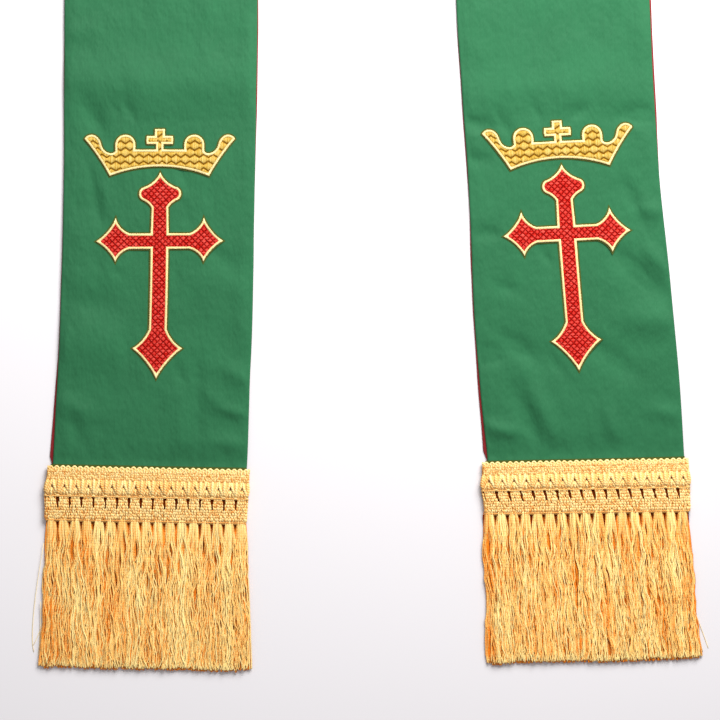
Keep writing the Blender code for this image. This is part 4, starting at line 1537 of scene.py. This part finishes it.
# Lower layers take lower tones: painted shade deeper in the pile.
LAYERS = (
    Layer(20, 8, 0.00, 0.45, 0.75, 0.6, 0.0, -0.2, -1.0),
    Layer(22, 24, 0.36, 0.80, 0.48, 0.9, 0.7, 0.34, 0.4),
    Layer(26, 42, 0.60, 1.00, 0.42, 0.9, 1.0, 0.64, 0.0),
)


def fringe_points(half, u, down, z):
    """Points of the fringe, at distances down from the heading's lower edge."""
    x, _, rise = between(half.stations, np.zeros(1))
    ahead = np.array((1.0, rise[0])) / math.hypot(1.0, rise[0])
    start = np.array((x[0] + half.fringe_u, half.foot))
    flat = start + u[..., None] * ahead + down[..., None] * np.array((half.fringe_lean, -1.0))
    return np.concatenate((flat, z[..., None]), axis=-1)


def fringe_lengths(half, share, chance):
    """Length of each strand, from its place across the fringe and its trim."""
    left, middle, right = half.fringe_lengths
    side = np.where(share > 0, right, left)
    whole = middle + (side - middle) * (2 * share) ** 2
    trim = 1.4 - abs(chance.normal(0.0, 1.3, share.shape))
    seed = TRIM_SEED + half.side
    trim = trim + ripple(0.0 * share, share * 120.0, seed, waves=8, longest=24.0, height=0.6)
    cut = chance.random(share.shape) < SHORT_SHARE
    shorter = np.where(cut, chance.uniform(*SHORTER, share.shape), 0.0)
    return whole + trim - shorter


def make_fringe(half, settings, materials):
    """Brush fringe: layers of strands that leave the heading in bunches and lie loose on each other."""
    chance = np.random.default_rng(FRINGE_SEED + half.side)
    locks = chance.random((REPEATS * LOCKS, 8))
    shells = [strands(half, settings, layer, locks, chance) for layer in LAYERS]
    shells.append(fringe_shade_sheet(half))
    shells.append(stray_threads(half))
    return build(f"fringe_{half.name}_strands", shells, materials)


def waves(down, longest, shortest, swing, chance):
    """A wave of its own length and phase along each strand."""
    count = len(down)
    wavelength = chance.uniform(shortest, longest, (count, 1))
    phase = chance.uniform(0.0, math.tau, (count, 1))
    size = swing * chance.uniform(0.3, 1.0, (count, 1))
    return size * np.sin(math.tau * down / wavelength + phase)


def lock_waves(lock, down, first, shortest, longest):
    """A wave along each strand that its whole lock shares."""
    wavelength = shortest + (longest - shortest) * lock[:, first : first + 1]
    return np.sin(math.tau * (down / wavelength + lock[:, first + 1 : first + 2]))


def strands(half, settings, layer, locks, chance):
    """Strands of one layer of a fringe."""
    count = layer.per_bunch * REPEATS
    bunch = np.repeat(np.arange(REPEATS), layer.per_bunch)
    rank = (np.tile(np.arange(layer.per_bunch), REPEATS) + chance.random(count)) / layer.per_bunch
    depth = layer.low + (layer.high - layer.low) * chance.random((count, 1))
    share = (bunch + rank) / REPEATS - 0.5
    length = fringe_lengths(half, share, chance)[:, None] - layer.short
    step = np.append(np.linspace(0.0, 0.995, layer.steps - 1), 1.0)[None]
    down = ROOT_START + (length - ROOT_START) * step
    root_pitch, tip_pitch = repeat_width(half), (half.fringe_tip - 3.0) / REPEATS
    middle = (bunch + 0.5 - REPEATS / 2)[:, None] * (root_pitch + (tip_pitch - root_pitch) * step)
    width = BUNCH_ROOT + (tip_pitch - BUNCH_ROOT) * ease(down / BUNCH_OPENS)
    loose = ease(down / LOOSE_AT)
    slot = np.floor(rank * LOCKS)
    within = (rank * LOCKS - slot - 0.5)[:, None]
    lock = locks[(bunch * LOCKS + slot).astype(int)]
    pinch = 1 - layer.gather * loose * (0.2 + 0.18 * lock_waves(lock, down, 0, 20.0, 48.0))
    u = middle + ((slot[:, None] + 0.5) / LOCKS - 0.5) * width + within * pinch * width / LOCKS
    swing = 0.9 * lock_waves(lock, down, 2, 30.0, 60.0) + 0.35 * lock_waves(lock, down, 4, 12.0, 24.0)
    u = u + layer.gather * loose * swing
    u = u + 0.7 * chance.normal(0.0, 1.0, (count, 1)) * ease((step - TIPS_PART) / 0.07)
    strays = chance.random((count, 1)) < STRAY_SHARE
    reach = settings.stray_reach / MM * np.where(strays, STRAY_MORE, 1.0)
    u = u + chance.normal(0.0, 1.0, (count, 1)) * reach * step**1.3
    long_waves, short_waves = waves(down, 50.0, 24.0, 0.5, chance), waves(down, 16.0, 7.0, 0.5, chance)
    u = u + layer.wander * loose * (long_waves + short_waves)
    edge = half.fringe_root / 2 + (half.fringe_tip - half.fringe_root) / 2 * step
    limit = edge + chance.uniform(*EDGE_SPREAD, (count, 1))
    u = np.clip(u, -limit, limit)
    pile = EDGE_PILE + (1 - EDGE_PILE) * ease((edge - abs(u)) / EDGE_SLOPE)
    across_bunch = 1 - 0.8 * (2 * rank[:, None] - 1) ** 8
    root_z = ROOT_FOOT + ROOT_PILE * depth * across_bunch
    lying_z = LYING_FOOT + LYING_PILE * depth * pile * (1 - 0.2 * step**3)
    swell = (waves(down, 44.0, 18.0, 0.4, chance) + waves(down, 14.0, 8.0, 0.22, chance)) * loose
    dome = layer.gather * loose * 0.5 * (1 - 8 * within**2)
    z = root_z + (lying_z + dome + swell - root_z) * ease(down / LYING_AT)
    z = np.maximum(z, LYING_FOOT * (1 + layer.low))
    breadth = layer.breadth * settings.strand_breadth * chance.uniform(0.8, 1.2, (count, 1))
    taper = np.concatenate((np.ones(layer.steps - 1), (0.8,)))
    patch = ripple(down * 0.45, u, PATCH_SEED + half.side, waves=9, longest=34.0, height=0.2)
    # Painted shade: strands darker toward the fringe's left side, away from the light.
    shaded = ease((u + edge) / 8.0)
    tone = layer.tone + patch + chance.normal(0.0, 0.2, (count, 1)) + 0.24 * (lock[:, 6:7] - 0.5)
    # Painted shade on the outer strands of each bunch near the roots, the middle ones lighter, and on the
    # left side.
    tone = tone + (0.42 * across_bunch - 0.3) * (1 - loose) - 0.45 * (1 - shaded)
    # Painted highlight: the upper layers' tips turn lighter.
    tone = tone + 0.3 * layer.gather * ease((step - TIPS_LIGHTEN) / 0.04)
    paths = fringe_points(half, u, down, z)
    return tubes(paths, breadth * taper, breadth * 0.85 * taper, 3, 1, tone)


def fringe_shade_sheet(half):
    """Painted shade: a dark sheet behind the bunches' roots, where the yarn is bound to the heading, so
    their gaps show shade and not the floor.
    """
    reach = half.fringe_root / 2 - 0.5
    rings = []
    for down in (7.0, 0.1):
        u = np.array((reach, -reach, -reach, reach))
        z = np.array((1.0, 1.0, 0.45, 0.45)) + (0.8 if down < 1.0 else 0.0)
        rings.append(fringe_points(half, u, np.full(4, down), z))
    return ringed(rings, 0, False, 0.2)


def stray_threads(half):
    """Loose threads beside the fringe, on soft bends."""
    share = np.linspace(0.0, 1.0, 14)[:, None]
    paths = []
    for stray in half.strays:
        root, middle, end = np.array(stray.root), np.array(stray.middle), np.array(stray.end)
        bend = 2 * middle - (root + end) / 2
        curve = root * (1 - share) ** 2 + 2 * bend * share * (1 - share) + end * share**2
        z = 0.3 + 1.5 * (1 - share[:, 0]) ** 3
        paths.append(fringe_points(half, curve[:, 0], curve[:, 1], z))
    return tubes(np.array(paths), 0.16, 0.14, 4, 1, 0.95)


# Settings.


def distance(name, description, default_mm):
    """Length property from a size in millimetres."""
    return bpy.props.FloatProperty(
        name=name,
        description=description,
        default=default_mm * MM,
        min=0.0,
        unit="LENGTH",
        subtype="DISTANCE",
        precision=5,
    )


def dye(name, description, default):
    """Colour property."""
    return bpy.props.FloatVectorProperty(
        name=name, description=description, default=default, size=3, min=0.0, max=1.0, subtype="COLOR"
    )


def factor(name, description, default, high=1.0):
    """Property for a share or a strength."""
    return bpy.props.FloatProperty(
        name=name, description=description, default=default, min=0.0, max=high, subtype="FACTOR"
    )


class StoleCloth(bpy.types.PropertyGroup):
    """Face cloth and lining."""

    face_colour: dye("Face", "Dye of the face cloth", (0.0205, 0.123, 0.050))
    lining_colour: dye("Lining", "Dye of the lining", (0.21, 0.016, 0.017))
    pitch: distance("Thread Pitch", "Distance between the cloth's threads", 0.38)
    slub: factor("Slub", "How uneven the threads are", 0.2)
    mottle: factor("Mottle", "How uneven the dye is", 0.24)
    weave_depth: distance("Weave Depth", "Relief of the weave", 0.08)
    crumple_depth: distance("Crumple Depth", "Relief of the small crumples", 1.7)
    fold_scale: factor("Folds", "Height of the broad folds", 1.0, 2.0)
    crease_scale: factor("Creases", "Height of the narrow creases", 1.0, 2.0)
    swell: distance("Swell", "Height of the cloth's uneven swell", 0.3)
    columns: bpy.props.IntProperty(name="Columns", description="Points across the face", default=76, min=8)
    low_pitch: distance("Low Pitch", "Distance between rows round the emblems", 1.6)
    high_pitch: distance("High Pitch", "Distance between rows above the emblems", 6.0)
    lining_pitch: distance("Lining Pitch", "Distance between the lining's rows", 6.0)


class StoleEmblems(bpy.types.PropertyGroup):
    """Stitched crowns and crosses."""

    red_deep: dye("Deep Red", "Shaded red thread", (0.18, 0.002, 0.002))
    red_middle: dye("Red", "Red thread", (0.60, 0.011, 0.006))
    red_bright: dye("Bright Red", "Lit red thread", (0.97, 0.17, 0.13))
    gold_deep: dye("Deep Gold", "Shaded gold thread", (0.40, 0.19, 0.015))
    gold_middle: dye("Gold", "Gold thread", (0.66, 0.41, 0.055))
    gold_bright: dye("Bright Gold", "Lit gold thread", (0.90, 0.68, 0.22))
    cream_deep: dye("Deep Cream", "Shaded border thread", (0.64, 0.44, 0.16))
    cream_middle: dye("Cream", "Border thread", (0.78, 0.64, 0.28))
    cream_bright: dye("Bright Cream", "Lit border thread", (0.86, 0.74, 0.42))
    # Painted shade: the dark line round the emblems and above the heading's loops.
    shade_line_colour: dye("Pulled Cloth", "Cloth drawn in under the border", (0.060, 0.080, 0.016))
    # Painted shade: the dark red that shows in the gaps between red stitches.
    red_shade_ground: dye("Red Ground", "Ground that shows between red stitches", (0.16, 0.004, 0.004))
    # Partly the brown of the zigzag lines and partly painted shade in their gaps.
    brown_shade_ground: dye("Brown Ground", "Ground that shows in the zigzags", (0.16, 0.065, 0.004))
    border_width: distance("Border Width", "Width of the satin border", 1.7)
    border_pitch: distance("Border Pitch", "Distance between satin stitches", 0.36)
    border_rise: distance("Border Rise", "Height of the satin border", 0.62)
    # Width of the line of painted shade round the border.
    shade_line_width: distance("Pull Width", "How far the cloth is drawn in round the border", 0.75)
    fill_pitch: distance("Fill Pitch", "Distance between rows of fill stitches", 0.48)
    lattice_width: distance("Lattice Width", "Width of one cell of the cross's lattice", 3.62)
    lattice_gap: distance("Lattice Gap", "Widest opening between stitches along the lattice", 0.4)
    zigzag_period: distance("Zigzag Period", "Length of one zigzag", 5.65)
    zigzag_spacing: distance("Zigzag Spacing", "Distance between zigzag lines", 4.15)
    zigzag_depth: distance("Zigzag Depth", "Height of a zigzag", 1.95)
    zigzag_gap: distance("Zigzag Gap", "Opening between stitches along a zigzag", 0.58)


class StoleTrim(bpy.types.PropertyGroup):
    """Braided headings and brush fringes."""

    braid_deep: dye("Deep Braid", "Shaded braid yarn", (0.68, 0.24, 0.04))
    braid_middle: dye("Braid", "Braid yarn", (0.82, 0.525, 0.18))
    braid_bright: dye("Bright Braid", "Lit braid yarn", (0.87, 0.66, 0.30))
    # Painted shade: the dark colour that shows in the slots, the pits and the gaps between the braid's
    # yarns.
    braid_ground: dye("Braid Ground", "Ground under the braid's yarns", (0.12, 0.017, 0.001))
    # Painted shade: the dark sheet behind the fringe's bunches.
    fringe_root: dye("Fringe Root", "Bound roots of the fringe", (0.20, 0.02, 0.0005))
    fringe_deep: dye("Deep Fringe", "Shaded fringe strand", (0.83, 0.235, 0.012))
    fringe_middle: dye("Fringe", "Fringe strand", (0.92, 0.56, 0.165))
    fringe_bright: dye("Bright Fringe", "Lit fringe strand", (0.96, 0.77, 0.34))
    strand_breadth: factor("Strand Breadth", "Breadth of the strands, where 1 is as made", 1.0, 2.0)
    stray_reach: distance("Stray Reach", "How far a strand strays from its bunch", 1.6)


class StoleStage(bpy.types.PropertyGroup):
    """Floor, lights and camera."""

    floor_colour: dye("Floor", "Colour of the floor", (0.70, 0.675, 0.685))
    # Painted shade: the floor's colour toward the lower edge and the right, where the light falls off.
    floor_painted_shade: dye("Floor Shade", "Floor toward the lower edge and the right", (0.63, 0.607, 0.617))
    sky_colour: dye("Surround", "Colour of the light from all round", (0.97, 0.97, 1.0))
    sky_strength: factor("Surround Strength", "Strength of the light from all round", 0.46, 4.0)
    key_power: bpy.props.FloatProperty(
        name="Key Power", description="Power of the key light", default=21.5, min=0.0, subtype="POWER"
    )
    key_size: distance("Key Size", "Side of the key light", 600.0)
    camera_height: distance("Camera Height", "Height of the camera over the surface", 1600.0)
    frame_width: distance("Frame Width", "Width of what the camera sees at the surface", 440.9)


GROUPS = (
    ("stole_cloth", StoleCloth),
    ("stole_emblems", StoleEmblems),
    ("stole_trim", StoleTrim),
    ("stole_stage", StoleStage),
)

# The camera's middle, the key light and the floor, in metres.
CAMERA_X = -0.00793
CAMERA_Y = -0.4836
SENSOR = 36.0
KEY_FROM = (0.30, 0.70, 0.66)
KEY_AIM = (0.0, 0.1, 0.0)
FLOOR_SIDE = 30.0


# Operators.


class StoleOperator:
    """What the stole's operators share."""

    bl_options = {"REGISTER", "UNDO"}


class STOLE_OT_set_stage(StoleOperator, bpy.types.Operator):
    """Set the floor, the lights and the camera"""

    bl_idname = "stole.set_stage"
    bl_label = "Set Stage"

    def execute(self, context):
        settings = context.scene.stole_stage
        self.lay_floor(settings)
        self.light(context.scene, settings)
        self.aim(context.scene, settings)
        return {"FINISHED"}

    def lay_floor(self, settings):
        """Pale floor, wide enough for a low view, with painted shade toward the lower edge and the right."""
        mesh = bpy.data.meshes.new("floor")
        side = FLOOR_SIDE / 2
        corners = [(-side, -side, 0), (side, -side, 0), (side, side, 0), (-side, side, 0)]
        mesh.from_pydata(corners, [], [(0, 1, 2, 3)])
        floor = bpy.data.objects.new("floor", mesh)
        bpy.context.scene.collection.objects.link(floor)
        material, graph, shader = new_material("floor")
        place_on_floor = graph.split(graph.node("ShaderNodeTexCoord").outputs["Object"])
        reach = settings.frame_width / 2
        # Painted shade grows toward the right and toward the lower edge.
        right = graph.spread(place_on_floor.outputs["X"], CAMERA_X - reach, CAMERA_X + reach, 0.0, 0.7)
        near = graph.spread(place_on_floor.outputs["Y"], CAMERA_Y + reach, CAMERA_Y - reach, 0.0, 0.3)
        shade = graph.plus(right, near)
        colour = graph.mix(shade, rgba(settings.floor_colour), rgba(settings.floor_painted_shade))
        graph.feed(shader.inputs["Base Color"], colour)
        shader.inputs["Roughness"].default_value = 0.9
        shader.inputs["Specular IOR Level"].default_value = 0.1
        mesh.materials.append(material)

    def light(self, scene, settings):
        """Light from all round, and a soft key from the upper right."""
        world = bpy.data.worlds.new("surround")
        world.use_nodes = True
        background = world.node_tree.nodes["Background"]
        background.inputs["Color"].default_value = rgba(settings.sky_colour)
        background.inputs["Strength"].default_value = settings.sky_strength
        scene.world = world
        lamp = bpy.data.lights.new("key", "AREA")
        lamp.energy = settings.key_power
        lamp.size = settings.key_size
        key = bpy.data.objects.new("key", lamp)
        middle = Vector((CAMERA_X, CAMERA_Y, 0.0))
        key.location = middle + Vector(KEY_FROM)
        key.rotation_mode = "QUATERNION"
        key.rotation_quaternion = (Vector(KEY_AIM) - Vector(KEY_FROM)).to_track_quat("-Z", "Y")
        scene.collection.objects.link(key)

    def aim(self, scene, settings):
        """Camera straight down over the two ends."""
        view = bpy.data.cameras.new("camera")
        view.sensor_width = SENSOR
        view.lens = SENSOR * settings.camera_height / settings.frame_width
        camera = bpy.data.objects.new("camera", view)
        camera.location = (CAMERA_X, CAMERA_Y, settings.camera_height)
        scene.collection.objects.link(camera)
        scene.camera = camera
        scene.view_settings.view_transform = "Standard"


class STOLE_OT_tie_fringes(StoleOperator, bpy.types.Operator):
    """Make the brush fringes below the headings"""

    bl_idname = "stole.tie_fringes"
    bl_label = "Tie Fringes"

    def execute(self, context):
        settings = context.scene.stole_trim
        strand = thread_material("fringe_yarn", dyes_of(settings, "fringe"), FRINGE_YARN)
        # The root material paints shade, on the dark sheet behind the bunches.
        root = thread_material("fringe_root", [settings.fringe_root] * 3, TRIM_SHADE_BACKING)
        for half in HALVES:
            item = make_fringe(half, settings, (root, strand))
            dress(item, "gold_fringe", f"fringe_{half.name}")
        return {"FINISHED"}


class STOLE_OT_braid_headings(StoleOperator, bpy.types.Operator):
    """Make the braided headings across the hems"""

    bl_idname = "stole.braid_headings"
    bl_label = "Braid Headings"

    def execute(self, context):
        settings = context.scene.stole_trim
        yarn = thread_material("braid_yarn", dyes_of(settings, "braid"), BRAID_YARN)
        ground = thread_material("braid_ground", [settings.braid_ground] * 3, TRIM_SHADE_BACKING)
        for half in HALVES:
            item = make_heading(half, (ground, yarn, pulled_cloth(context.scene.stole_emblems)))
            dress(item, "gold_braid", f"braid_{half.name}")
        return {"FINISHED"}


class STOLE_OT_stitch_crowns(StoleOperator, bpy.types.Operator):
    """Stitch the crowns on both halves"""

    bl_idname = "stole.stitch_crowns"
    bl_label = "Stitch Crowns"

    def execute(self, context):
        settings = context.scene.stole_emblems
        thread = thread_material("gold_thread", dyes_of(settings, "gold"), GOLD_YARN)
        ground = thread_material("crown_ground", [settings.brown_shade_ground] * 3, EMBLEM_SHADE_BACKING)
        stitch_emblems("crown", CROWN, zigzag_fill, settings, thread, ground, slot="gold_thread", seed=20)
        return {"FINISHED"}


class STOLE_OT_stitch_crosses(StoleOperator, bpy.types.Operator):
    """Stitch the crosses on both halves"""

    bl_idname = "stole.stitch_crosses"
    bl_label = "Stitch Crosses"

    def execute(self, context):
        settings = context.scene.stole_emblems
        thread = thread_material("red_thread", dyes_of(settings, "red"), RED_YARN)
        ground = thread_material("cross_ground", [settings.red_shade_ground] * 3, EMBLEM_SHADE_BACKING)
        stitch_emblems("cross", CROSS, lattice_fill, settings, thread, ground, slot="red_thread", seed=10)
        return {"FINISHED"}


class STOLE_OT_lay_linings(StoleOperator, bpy.types.Operator):
    """Lay the linings on the floor"""

    bl_idname = "stole.lay_linings"
    bl_label = "Lay Linings"

    def execute(self, context):
        settings = context.scene.stole_cloth
        cloth = cloth_material("lining_cloth", settings, settings.lining_colour, 0.5)
        for half in HALVES:
            item = dress(make_lining(half, settings, cloth), "lining", f"lining_{half.name}")
        return {"FINISHED"}


class STOLE_OT_lay_faces(StoleOperator, bpy.types.Operator):
    """Lay the face cloths on the linings"""

    bl_idname = "stole.lay_faces"
    bl_label = "Lay Faces"

    def execute(self, context):
        settings = context.scene.stole_cloth
        cloth = cloth_material("face_cloth", settings, settings.face_colour, 0.55)
        for half in HALVES:
            item = dress(make_face(half, settings, cloth), "face_cloth", f"face_{half.name}")
        return {"FINISHED"}


STEPS = (
    STOLE_OT_set_stage,
    STOLE_OT_tie_fringes,
    STOLE_OT_braid_headings,
    STOLE_OT_stitch_crowns,
    STOLE_OT_stitch_crosses,
    STOLE_OT_lay_linings,
    STOLE_OT_lay_faces,
)


class VIEW3D_PT_stole(bpy.types.Panel):
    """Steps and settings of the stole"""

    bl_label = "Clerical Stole"
    bl_idname = "VIEW3D_PT_stole"
    bl_space_type = "VIEW_3D"
    bl_region_type = "UI"
    bl_category = "Stole"

    def draw(self, context):
        layout = self.layout
        for step in STEPS:
            layout.operator(step.bl_idname)
        for name, group in GROUPS:
            box = layout.box()
            box.label(text=group.__doc__)
            for key in group.__annotations__:
                box.prop(getattr(context.scene, name), key)


def register():
    """Add the settings, the operators and the panel."""
    for name, group in GROUPS:
        bpy.utils.register_class(group)
        setattr(bpy.types.Scene, name, bpy.props.PointerProperty(type=group))
    for step in STEPS:
        bpy.utils.register_class(step)
    bpy.utils.register_class(VIEW3D_PT_stole)


def unregister():
    """Take the panel, the operators and the settings away again."""
    bpy.utils.unregister_class(VIEW3D_PT_stole)
    for step in reversed(STEPS):
        bpy.utils.unregister_class(step)
    for name, group in reversed(GROUPS):
        delattr(bpy.types.Scene, name)
        bpy.utils.unregister_class(group)


def main():
    """Make the whole stole, step by step."""
    register()
    bpy.ops.stole.set_stage()
    bpy.ops.stole.tie_fringes()
    bpy.ops.stole.braid_headings()
    bpy.ops.stole.stitch_crowns()
    bpy.ops.stole.stitch_crosses()
    bpy.ops.stole.lay_linings()
    bpy.ops.stole.lay_faces()


if __name__ == "__main__":
    main()
